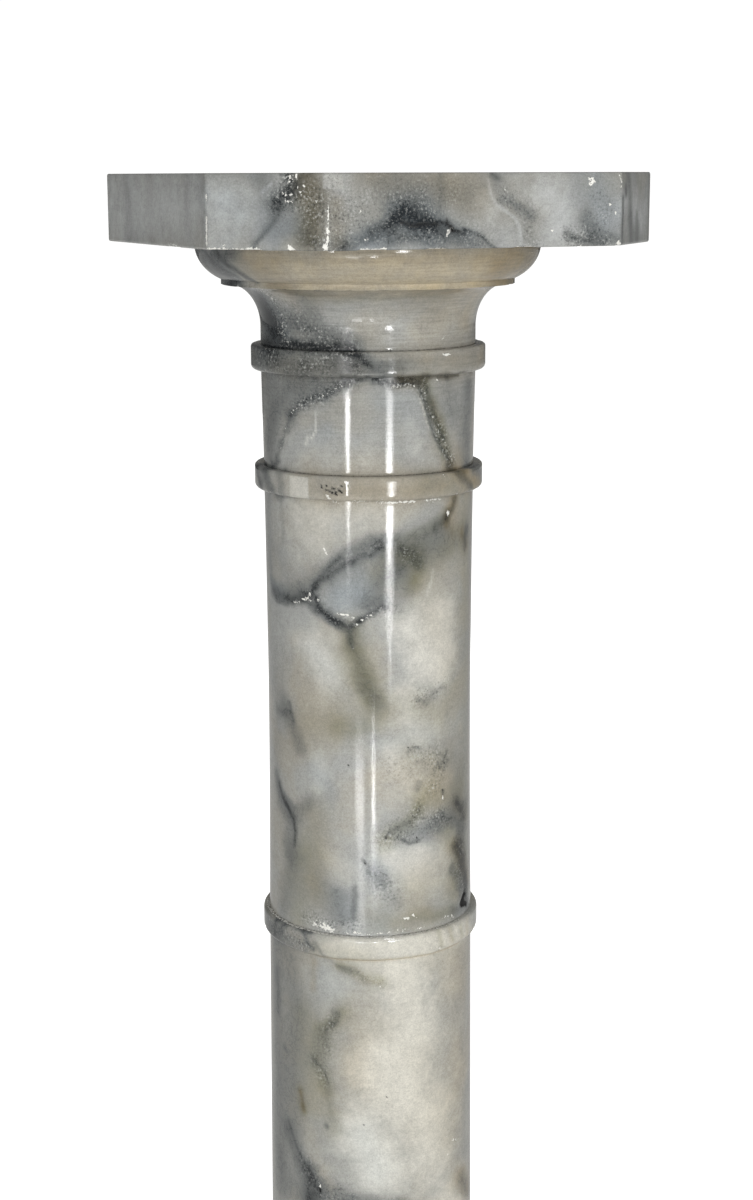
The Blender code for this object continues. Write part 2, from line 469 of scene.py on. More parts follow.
# %% Ground, clay and iron
GROUND_EDGE = (0.40, 0.62)
PALE_BLOTCHES = 0.45
CLAY_BLOTCHES = 0.7
CLAY_INSIDE = (0.08, 0.45)
THREAD_WIDTH = 0.035
THREAD_DEPTH = 0.13
RAGGED_EVERYWHERE = 0.06
RAGGED_INSIDE = 0.10
RAGGED_GRIT = 0.45
CLAY_SHOWS = (-0.02, 0.74)
CLAY_DEEPENS = (0.60, 1.06)
SLATE_MID = (0.150, 0.157, 0.153, 1)
SLATE_DARK = (0.018, 0.021, 0.023, 1)
IRON_GLASSES = {"brown": (0.9, (0.76, 0.61, 0.38, 1)), "olive": (1.2, (0.60, 0.585, 0.45, 1))}
COOL_GLASS = (0.90, 0.965, 1.05, 1)


def ground_tone(tree, tints, layer, noises):
    """Cool and warm ground in broad clouds, with the pale layer over it."""
    tone = tint(tree, step_up(tree, noises["broad"], *GROUND_EDGE), tints["Cool"], tints["Warm"])
    paleness = wavering(tree, layer["pale"], noises["middle"], PALE_BLOTCHES)
    return tint(tree, step_up(tree, paleness, 0.0, 1.0), tone, tints["Pale"])


def clay_amount(tree, layer, noises):
    """The slate layer with blotches in it, fine threads and a ragged edge."""
    blotches = wavering(tree, 1.0, noises["middle"], CLAY_BLOTCHES)
    inside = step_up(tree, layer["slate"], *CLAY_INSIDE)
    thread = sums(tree, "ABSOLUTE", sums(tree, "SUBTRACT", noises["fibre"], NOISE_MIDDLE), 0.0)
    thread = sums(tree, "SUBTRACT", 1.0, step_up(tree, thread, 0.0, THREAD_WIDTH))
    clay = sums(tree, "MULTIPLY", layer["slate"], blotches)
    clay = plus(tree, clay, sums(tree, "MULTIPLY", thread, inside), THREAD_DEPTH)
    crumbly = plus(tree, RAGGED_EVERYWHERE, inside, RAGGED_INSIDE)
    crumbly = plus(tree, crumbly, layer["grit"], RAGGED_GRIT)
    return wavering(tree, clay, noises["fine"], crumbly)


def veined_colour(tree, tone, clay, layer, noises):
    """The ground with clay laid over it, seen through glasses of iron and of a cool cast."""
    colour = tint(tree, step_up(tree, clay, *CLAY_SHOWS), tone, SLATE_MID)
    colour = tint(tree, step_up(tree, clay, *CLAY_DEEPENS), colour, SLATE_DARK)
    for name, (blotches, glass) in IRON_GLASSES.items():
        iron = sums(tree, "MULTIPLY", layer[name], wavering(tree, 1.0, noises["middle"], blotches))
        colour = filtered(tree, iron, colour, glass)
    return filtered(tree, layer["cool"], colour, COOL_GLASS)


# %% Crystals and the lathe's streaks
GRIT_PATCHES = (0.36, 0.60)
SALT_EDGE = (0.52, 0.68)
PEPPER_EDGE = (0.47, 0.32)
CRYSTAL_AMOUNT = 0.8
CRYSTAL_GREY = (0.56, 0.565, 0.54, 1)
STREAKS_EVERYWHERE = 0.12
STREAKS_TURNED = 0.45
SHADES = {"grain": 0.85, "fine": 0.42, "middle": 0.45}


def sparkling(tree, colour, layer, noises):
    """Light crystals in patches, and dark ones, where the grit layer is."""
    grit = layer["grit"]
    patchy = sums(tree, "MULTIPLY", grit, step_up(tree, noises["middle"], *GRIT_PATCHES))
    for edge, where, crystal in ((SALT_EDGE, patchy, CRYSTAL_GREY), (PEPPER_EDGE, grit, SLATE_DARK)):
        amount = sums(tree, "MULTIPLY", where, CRYSTAL_AMOUNT)
        amount = sums(tree, "MULTIPLY", step_up(tree, noises["crystal"], *edge), amount)
        colour = tint(tree, amount, colour, crystal)
    return colour


def lathe_streaks(tree, layer, noises):
    """Level streaks, stronger where the turning layer is."""
    strength = plus(tree, STREAKS_EVERYWHERE, layer["turning"], STREAKS_TURNED)
    return sums(tree, "MULTIPLY", sums(tree, "SUBTRACT", noises["lathe"], NOISE_MIDDLE), strength)


def shaded(tree, colour, streaks, noises):
    """The colour made lighter and darker by the streaks and the finer noises."""
    shade = sums(tree, "ADD", streaks, 1.0)
    for name, amount in SHADES.items():
        shade = wavering(tree, shade, noises[name], amount)
    return put(tree, "ShaderNodeVectorMath", {0: colour, "Scale": shade}, operation="SCALE").outputs[0]


# %% Plaster, chips, dirt and painted corner shade
CHALK_WHITE = (0.84, 0.83, 0.78, 1)
# Black for the dirt specks and for the painted shade in the ring corners.
SOOT_AND_SHADE_BLACK = (0.004, 0.004, 0.004, 1)
CRUMB_CRYSTALS = 1.5
CRUMB_GRAIN = 0.6
CRUMB_EDGE = (0.40, 0.56)
DIRT_AND_SHADE_CRYSTALS = 1.0
DIRT_AND_SHADE_EDGE = (0.28, 0.70)
LAYER_BEGINS = (0.04, 0.2)


def broken_up(tree, amount, edge, layer):
    """Crumbs: where an amount passes an edge, and only where its layer has begun."""
    return sums(tree, "MULTIPLY", step_up(tree, amount, *edge), step_up(tree, layer, *LAYER_BEGINS))


def chalk_crumbs(tree, layer, noises):
    """Crumbs of plaster and chipped stone."""
    amount = wavering(tree, layer["chalk"], noises["crystal"], CRUMB_CRYSTALS)
    amount = wavering(tree, amount, noises["grain"], CRUMB_GRAIN)
    return broken_up(tree, amount, CRUMB_EDGE, layer["chalk"])


def black_dirt_and_shade(tree, layer, noises):
    """Specks of black dirt, and the painted shade in the ring corners."""
    amount = wavering(tree, layer["soot_and_shade"], noises["crystal"], DIRT_AND_SHADE_CRYSTALS)
    return broken_up(tree, amount, DIRT_AND_SHADE_EDGE, layer["soot_and_shade"])


# %% Polish and relief
POLISH = 0.075
POLISH_CLOUDS = 0.10
GRIT_DULLS = 0.14
STREAKS_DULL = 1.2
CRUMBS_DULL = 0.5
GRAIN_RELIEF = 0.16
GRIT_RELIEF = 0.8
STREAK_RELIEF = 0.15
FINE_RELIEF = 0.24
CRUMB_RELIEF = 1.2
DIRT_AND_SHADE_RELIEF = -1.0


def dullness_of(tree, streaks, crumbs, dirt_and_shade, layer, noises):
    """The roughness: smooth where the polish holds, dull on grit, streaks, crumbs, dirt and the painted
    corner shade.
    """
    dullness = wavering(tree, POLISH, noises["middle"], POLISH_CLOUDS)
    dullness = plus(tree, dullness, layer["grit"], GRIT_DULLS)
    dullness = plus(tree, dullness, streaks, STREAKS_DULL)
    return plus(tree, dullness, sums(tree, "ADD", crumbs, dirt_and_shade), CRUMBS_DULL)


def relief_of(tree, crumbs, dirt_and_shade, layer, noises):
    """The height that the Bump node reads."""
    grainy = plus(tree, GRAIN_RELIEF, layer["grit"], GRIT_RELIEF)
    height = sums(tree, "MULTIPLY", sums(tree, "SUBTRACT", noises["grain"], NOISE_MIDDLE), grainy)
    height = wavering(tree, height, noises["lathe"], STREAK_RELIEF)
    height = wavering(tree, height, noises["fine"], FINE_RELIEF)
    height = plus(tree, height, crumbs, CRUMB_RELIEF)
    return plus(tree, height, dirt_and_shade, DIRT_AND_SHADE_RELIEF)


# %% Build the alabaster group
def alabaster_group():
    """Tints and layers in, colour, roughness and height out."""
    inputs = [(name, "NodeSocketColor") for name in ("Cool", "Warm", "Pale")]
    outputs = [("Color", "NodeSocketColor"), ("Roughness", "NodeSocketFloat"), ("Height", "NodeSocketFloat")]
    tree, given, result = group_with("alabaster", inputs, outputs)
    layer = {name: put(tree, "ShaderNodeAttribute", {}, attribute_name=name).outputs["Fac"]
             for name in LAYERS}
    noises = stone_noises(tree)
    tone = ground_tone(tree, given.outputs, layer, noises)
    colour = veined_colour(tree, tone, clay_amount(tree, layer, noises), layer, noises)
    streaks = lathe_streaks(tree, layer, noises)
    colour = shaded(tree, sparkling(tree, colour, layer, noises), streaks, noises)
    crumbs, dirt_and_shade = chalk_crumbs(tree, layer, noises), black_dirt_and_shade(tree, layer, noises)
    # The black covers dirt specks and paints shade into the ring corners.
    colour = tint(tree, dirt_and_shade, tint(tree, crumbs, colour, CHALK_WHITE), SOOT_AND_SHADE_BLACK)
    tree.links.new(colour, result.inputs["Color"])
    tree.links.new(dullness_of(tree, streaks, crumbs, dirt_and_shade, layer, noises), result.inputs["Roughness"])
    tree.links.new(relief_of(tree, crumbs, dirt_and_shade, layer, noises), result.inputs["Height"])
    return tree


ALABASTER = alabaster_group()
print("alabaster group:", len(ALABASTER.nodes), "nodes")

# %% Make the stones' materials
STONE_IOR = 1.52
BUMP_DEPTH = 0.00010


def polished_stone(name, cool, warm, pale):
    """A polished alabaster with its own tints."""
    material = bpy.data.materials.new(name)
    material.use_nodes = True
    tree = material.node_tree
    group = tree.nodes.new("ShaderNodeGroup")
    group.node_tree = ALABASTER
    for socket, value in (("Cool", cool), ("Warm", warm), ("Pale", pale)):
        group.inputs[socket].default_value = (*value, 1)
    shader = tree.nodes["Principled BSDF"]
    shader.inputs["IOR"].default_value = STONE_IOR
    tree.links.new(group.outputs["Color"], shader.inputs["Base Color"])
    tree.links.new(group.outputs["Roughness"], shader.inputs["Roughness"])
    bump = put(tree, "ShaderNodeBump", {"Height": group.outputs["Height"], "Distance": BUMP_DEPTH})
    tree.links.new(bump.outputs["Normal"], shader.inputs["Normal"])
    return material


STONE_TINTS = {
    "upper alabaster": ((0.36, 0.365, 0.35), (0.385, 0.37, 0.325), (0.61, 0.60, 0.55)),
    "lower alabaster": ((0.355, 0.355, 0.33), (0.39, 0.372, 0.32), (0.625, 0.605, 0.535)),
    "plate alabaster": ((0.30, 0.305, 0.295), (0.31, 0.305, 0.275), (0.48, 0.49, 0.485)),
}
UPPER_STONE, LOWER_STONE, PLATE_STONE = [polished_stone(name, *tints) for name, tints in STONE_TINTS.items()]
print("materials:", ", ".join(STONE_TINTS))

# %% [markdown]
# ## Turning a stone
#
# On the lathe a tool follows the profile while the stone spins. Blender's spin does the
# same: the profile is a chain of points from the top's middle, down the outside, to the
# foot's middle, and one full turn sweeps it into a closed skin. The mouldings are arcs of
# ellipses. Straight runs are cut into short steps too, because the marks need points.

# %% Profile helpers
CORNER = 0.0005
CORNER_STEP = 0.0008
FINE_STEP = 0.00145
COARSE_STEP = 0.0024
FEWEST_ARC_STEPS = 3
BED_CUTS = 4
STEP_TOLERANCE = 0.01


def arc(centre, radii, start, end, step=FINE_STEP):
    """Points along an ellipse's arc, angles in degrees above the outward direction."""
    steps = max(FEWEST_ARC_STEPS, round(max(radii) * math.radians(abs(end - start)) / step))
    angles = [math.radians(start + (end - start) * i / steps) for i in range(steps + 1)]
    return [(centre[0] + radii[0] * math.cos(a), centre[1] + radii[1] * math.sin(a)) for a in angles]


def ring_profile(radius, head, foot, head_corner, foot_corner):
    """A raised ring's outside, from its upper corner down to its lower one."""
    upper_centre = (radius - head_corner, head - head_corner)
    lower_centre = (radius - foot_corner, foot + foot_corner)
    upper = arc(upper_centre, (head_corner, head_corner), 90, 0, CORNER_STEP)
    return upper + arc(lower_centre, (foot_corner, foot_corner), 0, -90, CORNER_STEP)


def shaft_run(head_radius, foot_radius, waist, head, foot, steps):
    """A shaft that spreads towards its foot and draws in between."""
    run = []
    for t in [i / steps for i in range(steps + 1)]:
        radius = head_radius + (foot_radius - head_radius) * t - 4 * waist * t * (1 - t)
        run.append((radius, head + (foot - head) * t))
    return run


def closely_stepped(profile, step):
    """The same profile with no gap wider than a step, apart from the flat beds at its ends."""
    out = [profile[0]]
    for i, (a, b) in enumerate(zip(profile, profile[1:])):
        bed = i == 0 or i == len(profile) - 2
        cuts = BED_CUTS if bed else max(1, math.ceil(math.dist(a, b) / step - STEP_TOLERANCE))
        for k in range(1, cuts + 1):
            out.append((a[0] + (b[0] - a[0]) * k / cuts, a[1] + (b[1] - a[1]) * k / cuts))
    return out


# %% Spin a profile
TURN_STEPS = 280
MERGE_DISTANCE = 1e-6
SHARP_ANGLE = math.radians(40)


def mesh_from(name, bm):
    """A finished bmesh as a mesh with its faces outward, shaded smooth up to its corners."""
    bmesh.ops.recalc_face_normals(bm, faces=bm.faces)
    mesh = bpy.data.meshes.new(name)
    bm.to_mesh(mesh)
    bm.free()
    mesh.shade_smooth()
    mesh.set_sharp_from_angle(angle=SHARP_ANGLE)
    triangles = sum(len(face.vertices) - 2 for face in mesh.polygons)
    print(name, len(mesh.vertices), "points,", triangles, "triangles")
    return mesh


def turn_on_lathe(name, profile):
    """Spins a profile once round the axis into a closed skin."""
    bm = bmesh.new()
    chain = [bm.verts.new((radius, 0, height)) for radius, height in profile]
    links = [bm.edges.new(pair) for pair in zip(chain, chain[1:])]
    bmesh.ops.spin(
        bm, geom=chain + links, cent=(0, 0, 0), axis=(0, 0, 1), dvec=(0, 0, 0),
        angle=2 * math.pi, steps=TURN_STEPS, use_merge=True, use_duplicate=False)
    bmesh.ops.remove_doubles(bm, verts=bm.verts, dist=MERGE_DISTANCE)
    return mesh_from(name, bm)


# %% Lay marks on a turned stone
DRUM_SWIRLS = ((2.2, 0.016), (1.2, 0.005))
CRISP_WIDTH = 1.7
CRISP_SHAKE = 0.35
TURNING_FROM = 0.82
TURNING_OVER = 0.06


def turned_places(mesh, seed):
    """Each point's place, its angle from the front, and how far its marks are shaken along and up."""
    places = mesh_values(mesh, "co")
    right = np.array((math.cos(FRONT), math.sin(FRONT)))
    front = np.array((math.sin(FRONT), -math.cos(FRONT)))
    angle = np.arctan2(places[:, :2] @ right, places[:, :2] @ front)
    shift = swirled(places, seed, DRUM_SWIRLS)
    return places, angle, shift[:, 0], shift[:, 2]


def on_drum(marks):
    """Marks with angles in degrees, unrolled to millimetres."""
    return [(layer, strength, width, [(unrolled(a), z) for a, z in points])
            for layer, strength, width, points in marks]


def lay_on_drum(layers, places, angle, shift, marks):
    """Lays marks on a turned stone, wide ones with shaken edges and crisp ones nearly as they are drawn."""
    along, height = angle * SHAFT_RADIUS_MM, places[:, 2] * 1000
    unrolled_marks = on_drum(marks)
    wide = [mark for mark in unrolled_marks if mark[2] > CRISP_WIDTH]
    crisp = [mark for mark in unrolled_marks if mark[2] <= CRISP_WIDTH]
    lay_marks(layers, along + shift[0], height + shift[1], wide, FULL_TURN_MM)
    lay_marks(layers, along + CRISP_SHAKE * shift[0], height + CRISP_SHAKE * shift[1], crisp, FULL_TURN_MM)
    layers["turning"] = np.clip((places[:, 2] - TURNING_FROM) / TURNING_OVER, 0, 1)


def specks(places, layer, strength, size):
    """Small round marks, one for each place."""
    return [(layer, strength, size, [place]) for place in places]


# %% Repeat strokes on the hidden side
HIDDEN_STRENGTH = 0.8
WEAR = ("chalk", "soot_and_shade")


def without_wear(marks):
    """The strokes that are colour in the stone, without chips, plaster and dirt."""
    return [mark for mark in marks if mark[0] not in WEAR]


def behind(marks, turn, flip_about):
    """The same strokes, a little weaker, turned round the axis and mirrored about a height."""
    return [(layer, strength * HIDDEN_STRENGTH, width, [(x + turn, 2 * flip_about - z) for x, z in points])
            for layer, strength, width, points in without_wear(marks)]


# %% Wear and painted corner shade on a turned stone
CHALK_HOLLOW = 0.00025
SOOT_AND_SHADE_HOLLOW = 0.0009
CORNER_SHADE_AND_DIRT_STRENGTH = 0.55
CORNER_SHADE_AND_DIRT_WIDTH = 0.0004
NICK_WIDTH = 0.0013
NICK_DEPTH = 0.0012
# Each wave of nicks has how often it comes round, its share and its seed.
NICK_WAVES = ((14, 1.0, 0), (40, 0.5, 4))


def profile_distance(places, corner):
    """How far each place lies from a corner of the profile, in metres."""
    return np.hypot(np.hypot(places[:, 0], places[:, 1]) - corner[0], places[:, 2] - corner[1])


def corner_shade_and_dirt(layers, places, corners):
    """Painted shade with dirt: a thin dark line in the corner above each ring."""
    for corner in corners:
        line = np.exp(-((profile_distance(places, corner) / CORNER_SHADE_AND_DIRT_WIDTH) ** 2))
        add_mark(layers, "soot_and_shade", CORNER_SHADE_AND_DIRT_STRENGTH * line)


def worn_rims(layers, places, angle, rims, seed):
    """Pale nicks along a ring's edges, where it has been knocked. Gives back their depth."""
    depth = np.zeros(len(places))
    wave = np.array([sum(share * noise.noise((a * often, seed, start)) for often, share, start in NICK_WAVES)
                     for a in angle])
    for rim in rims:
        near = np.exp(-((profile_distance(places, rim) / NICK_WIDTH) ** 2))
        add_mark(layers, "chalk", np.clip(wave * 1.6 - 0.35, 0, 0.6) * near)
        depth += np.clip(wave - 0.12, 0, 0.5) * near * NICK_DEPTH
    return depth


def wear_away(mesh, layers, wear):
    """Keeps the layers on the mesh, and sinks its chips, its dirt, its painted corner shade and its nicks."""
    store_layers(mesh, layers)
    sink(mesh, CHALK_HOLLOW * layers["chalk"] + SOOT_AND_SHADE_HOLLOW * layers["soot_and_shade"] ** 2 + wear)


# %% Put a finished stone in its place
def finish_piece(name, mesh, material, node):
    """Puts a finished stone in the place of its construction solid."""
    mesh.materials.append(material)
    piece = bpy.data.objects.new(name, mesh)
    bpy.context.scene.collection.objects.link(piece)
    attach(piece, "root")
    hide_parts(node)
    print(name, "replaces", node)


# %% [markdown]
# ## The upper drum and its capital
#
# Shaft, two rings, neck, bell and ovolo are one stone: the veins cross the rings. The
# arch of crystals on the neck and the eye-shaped cloud under the lower ring are its best
# marks. They are laid one by one, from paths read off the stone: first the soft clouds, then
# the thin dark lines in them, and the crystals and chips over these. The side that the
# photo hides gets the same strokes, turned, mirrored and a little weaker.

# %% Profile of the upper drum
SHAFT_HEAD = 0.0660
SHAFT_JOINT = 0.0663
SHAFT_WAIST = 0.0010
NECK_HEAD = 0.0670
ASTRAGAL = 0.0718
COLLAR = 0.0732
BELL_HEAD = 0.0870
FILLET = 0.0910
OVOLO_FOOT = 0.0920
OVOLO_HEAD = 0.1070
OVOLO_DROP = 0.0213
FILLET_DROP = 0.0035
BELL_DROP = 0.0260
BELL_FOOT_DROP = 0.0110
COLLAR_DROP = 0.0155
NECK_DROP = 0.0592
ASTRAGAL_DROP = 0.0150
OVOLO_SWEEP = 60
RING_HEAD_CORNER = 0.0016
RING_FOOT_CORNER = 0.0030
SHAFT_RUN_STEPS = 24

UPPER_HEAD = UPPER[1][2]
OVOLO_SPRING = UPPER_HEAD - OVOLO_DROP
FILLET_UNDERSIDE = OVOLO_SPRING - FILLET_DROP
BELL_UNDERSIDE = FILLET_UNDERSIDE - BELL_DROP
COLLAR_TOP = BELL_UNDERSIDE - BELL_FOOT_DROP
NECK_TOP = COLLAR_TOP - COLLAR_DROP
ASTRAGAL_TOP = NECK_TOP - NECK_DROP
SHAFT_TOP = ASTRAGAL_TOP - ASTRAGAL_DROP
JOINT = UPPER[0][2]


def upper_profile():
    """The upper drum's profile, from the middle of its top to the middle of its foot."""
    reach = (OVOLO_HEAD - OVOLO_FOOT) * 2
    rise = OVOLO_DROP / math.sin(math.radians(OVOLO_SWEEP))
    points = [(0, UPPER_HEAD)]
    points += arc((OVOLO_HEAD - reach, UPPER_HEAD), (reach, rise), 0, -OVOLO_SWEEP)
    points += [(FILLET, OVOLO_SPRING), (FILLET, FILLET_UNDERSIDE)]
    points += arc((BELL_HEAD, BELL_UNDERSIDE), (BELL_HEAD - NECK_HEAD, BELL_DROP), 90, 180)
    points += [(NECK_HEAD, COLLAR_TOP + CORNER), (NECK_HEAD, COLLAR_TOP), (NECK_HEAD + CORNER, COLLAR_TOP)]
    points += ring_profile(COLLAR, COLLAR_TOP, NECK_TOP, RING_HEAD_CORNER, RING_FOOT_CORNER)
    points += [(NECK_HEAD, NECK_TOP), (SHAFT_HEAD, ASTRAGAL_TOP + CORNER)]
    points += [(SHAFT_HEAD, ASTRAGAL_TOP), (SHAFT_HEAD + CORNER, ASTRAGAL_TOP)]
    points += ring_profile(ASTRAGAL, ASTRAGAL_TOP, SHAFT_TOP, RING_HEAD_CORNER, RING_FOOT_CORNER)
    points += shaft_run(SHAFT_HEAD, SHAFT_JOINT, SHAFT_WAIST, SHAFT_TOP, JOINT, SHAFT_RUN_STEPS)
    points += [(0, JOINT)]
    return closely_stepped(points, FINE_STEP)


upper_mesh = turn_on_lathe("upper drum", upper_profile())

# %% Marks of the capital
CAPITAL_MARKS = [
    ("brown", 0.62, 16, [(-36, 948), (0, 946), (90, 946)]),
    ("brown", 0.42, 5, [(-38, 935), (80, 935)]),
    ("pale", 0.52, 12, [(-22, 944), (20, 942), (38, 942)]),
    ("brown", 0.66, 10, [(48, 948), (80, 944)]),
    ("brown", 0.25, 3, [(-30, 950), (10, 952), (60, 950)]),
    ("pale", 0.42, 3, [(-26, 936), (50, 936)]),
    ("slate", 0.30, 12, [(70, 950), (95, 945)]),
    ("slate", 0.85, 4, [(-90, 957), (-72, 946), (-60, 938)]),
    ("slate", 0.70, 9, [(-95, 950), (-66, 948), (-50, 955)]),
    ("slate", 0.70, 2.6, [(-58, 957), (-54, 947), (-46, 938)]),
    ("slate", 0.62, 2.4, [(-68, 957), (-62, 948), (-54, 939)]),
    ("cool", 0.80, 12, [(-90, 950), (-60, 945)]),
    ("brown", 0.30, 11, [(25, 925), (60, 915)]),
    ("slate", 0.24, 12, [(-24, 926), (10, 922), (34, 922)]),
    ("olive", 0.26, 3, [(-30, 928), (40, 928)]),
    ("pale", 0.14, 10, [(0, 912), (18, 910)]),
    ("slate", 0.90, 12, [(-66, 932), (-60, 912), (-54, 900)]),
    ("slate", 0.62, 9, [(-42, 914), (-24, 905), (-8, 899)]),
    ("slate", 0.80, 12, [(-82, 925), (-60, 905)]),
    ("slate", 0.30, 7, [(-34, 930), (-30, 918)]),
    ("cool", 0.70, 16, [(-66, 925), (-56, 905)]),
    ("grit", 0.90, 7, [(-52, 930), (-50, 915), (-49, 900)]),
    ("grit", 0.62, 9, [(-40, 915), (-24, 906), (-12, 901)]),
    ("chalk", 0.26, 4.0, [(-52, 930), (-50, 914), (-48, 900)]),
    ("chalk", 0.18, 5.0, [(-38, 911), (-26, 906), (-16, 902)]),
    ("chalk", 0.80, 1.4, [(42, 903)]),
    ("slate", 0.90, 3.2, [(-82, 899), (-55, 898), (-40, 898)]),
    ("slate", 0.90, 3.2, [(-40, 898), (-23, 898), (-9, 898)]),
    ("slate", 0.80, 2.2, [(-9, 898), (-3, 893), (2, 887)]),
    ("slate", 0.56, 11, [(-78, 890), (-45, 889), (-10, 888)]),
    ("grit", 0.60, 10, [(-62, 890), (-30, 889), (-6, 888)]),
    ("brown", 0.36, 11, [(18, 890), (70, 889)]),
    ("slate", 0.20, 9, [(-6, 890), (60, 889)]),
    ("slate", 0.34, 6, [(-14, 889), (14, 888)]),
    ("brown", 0.25, 9, [(-50, 886), (-6, 886)]),
    ("cool", 0.40, 6, [(8, 889), (20, 888)]),
    ("slate", 0.24, 3, [(-8, 894), (2, 889), (8, 884)]),
    ("chalk", 0.85, 0.8, [(38, 893.6), (42, 893.4)]),
    ("slate", 0.70, 1.8, [(-9, 881), (10, 881), (30, 880.5), (55, 880)]),
    ("brown", 0.60, 1.8, [(14, 880.8), (55, 880)]),
]

# %% Marks of the neck
NECK_MARKS = [
    ("slate", 0.52, 11, [(-30, 880), (-46, 872), (-58, 858), (-70, 840)]),
    ("slate", 0.40, 12, [(-64, 872), (-66, 850), (-72, 828)]),
    ("slate", 0.54, 12, [(68, 868), (66, 835)]),
    ("slate", 0.38, 10, [(46, 872), (50, 856)]),
    ("brown", 0.30, 7, [(52, 838), (58, 825)]),
    ("slate", 0.24, 24, [(-20, 858), (8, 866), (16, 846)]),
    ("cool", 0.30, 20, [(-20, 850), (12, 860)]),
    ("slate", 0.48, 5, [(-12, 880), (-24, 871), (-38, 864), (-46, 855)]),
    ("slate", 0.42, 2.2, [(-9, 880), (-15, 877), (-20, 873), (-26, 868), (-33, 866), (-38, 863), (-44, 858)]),
    ("slate", 0.42, 1.4, [(-12, 878), (-18, 873), (-24, 867)]),
    ("grit", 1.00, 4.0, [(-10, 879), (-14, 877), (-26, 868), (-38, 863), (-44, 858)]),
    ("chalk", 0.32, 1.8, [(-10, 879), (-16, 876), (-24, 870), (-34, 866), (-44, 859)]),
    ("chalk", 0.25, 1.6, [(-46, 856), (-50, 847), (-56, 834)]),
    ("slate", 0.50, 2.0, [(-44, 858), (-48, 848), (-53, 843), (-57, 835), (-61, 826)]),
    ("pale", 0.85, 1.0, [(-45, 852), (-49, 846), (-54, 842)]),
    ("pale", 0.80, 1.0, [(-52, 844), (-54, 838), (-57, 832)]),
    ("slate", 0.55, 2.4, [(-57, 828), (-63, 823)]),
    ("slate", 0.85, 2.6, [(3, 879), (10, 878), (18, 878), (26, 877)]),
    ("brown", 0.60, 4.0, [(16, 879), (26, 877)]),
    ("grit", 0.90, 3.0, [(5, 879), (18, 877), (27, 875)]),
    ("chalk", 0.55, 1.0, [(12, 876), (17, 875)]),
    ("chalk", 0.50, 0.8, [(22, 877), (24, 875)]),
    ("olive", 0.85, 5.5, [(29, 878), (34, 868), (38, 856), (41, 846), (45, 834)]),
    ("brown", 0.30, 3.0, [(36, 866), (40, 852)]),
    ("slate", 0.34, 5.0, [(28, 876), (34, 864), (38, 850), (44, 836), (50, 826)]),
    ("slate", 0.55, 1.5, [
        (26, 876), (28, 870), (31, 866), (33, 859), (34, 852), (37, 845), (41, 838), (47, 829)]),
    ("slate", 0.50, 1.5, [(30, 877), (33, 869), (36, 861), (38, 853), (43, 842)]),
    ("grit", 1.00, 4.2, [(28, 876), (34, 861), (38, 850), (44, 836), (50, 828)]),
    ("pale", 0.85, 1.0, [(26, 873), (28, 866), (31, 858), (33, 850)]),
    ("pale", 0.70, 0.8, [(35, 864), (38, 858)]),
    ("chalk", 0.26, 2.0, [(28, 874), (34, 862), (38, 852), (44, 838), (49, 828)]),
    ("pale", 0.60, 0.9, [(41, 842), (43, 836), (45, 830)]),
    ("chalk", 0.70, 0.9, [(38, 878)]),
    ("chalk", 0.75, 1.0, [(66, 877.5)]),
    ("pale", 0.95, 0.9, [(-28, 860), (-28, 849), (-31, 843)]),
    ("pale", 0.60, 1.2, [(-33, 845), (-35, 840)]),
    ("pale", 0.18, 14, [(-30, 836), (-4, 832), (22, 840)]),
    ("pale", 0.35, 6, [(22, 852), (26, 838)]),
]

# %% Marks of the upper shaft and its ring
ASTRAGAL_MARKS = [
    ("brown", 0.42, 12, [(-28, 814), (44, 814)]),
    ("slate", 0.20, 10, [(-20, 814), (30, 814)]),
    ("olive", 0.40, 8, [(28, 816), (48, 814)]),
    ("slate", 0.85, 4.5, [(-80, 822), (-70, 812)]),
    ("slate", 0.66, 6, [(-64, 822), (-58, 808)]),
    ("slate", 0.42, 4, [(-50, 822), (-48, 808)]),
    ("slate", 0.60, 3.4, [(46, 825), (54, 817), (62, 809)]),
    ("brown", 0.70, 6, [(48, 824), (60, 814), (76, 810)]),
    ("slate", 0.60, 6, [(66, 822), (80, 816)]),
    ("pale", 0.30, 4, [(10, 818), (30, 816)]),
    ("chalk", 0.75, 1.0, [(-20, 810.5), (-19, 808)]),
    ("chalk", 0.80, 0.9, [(40, 820.6)]),
]
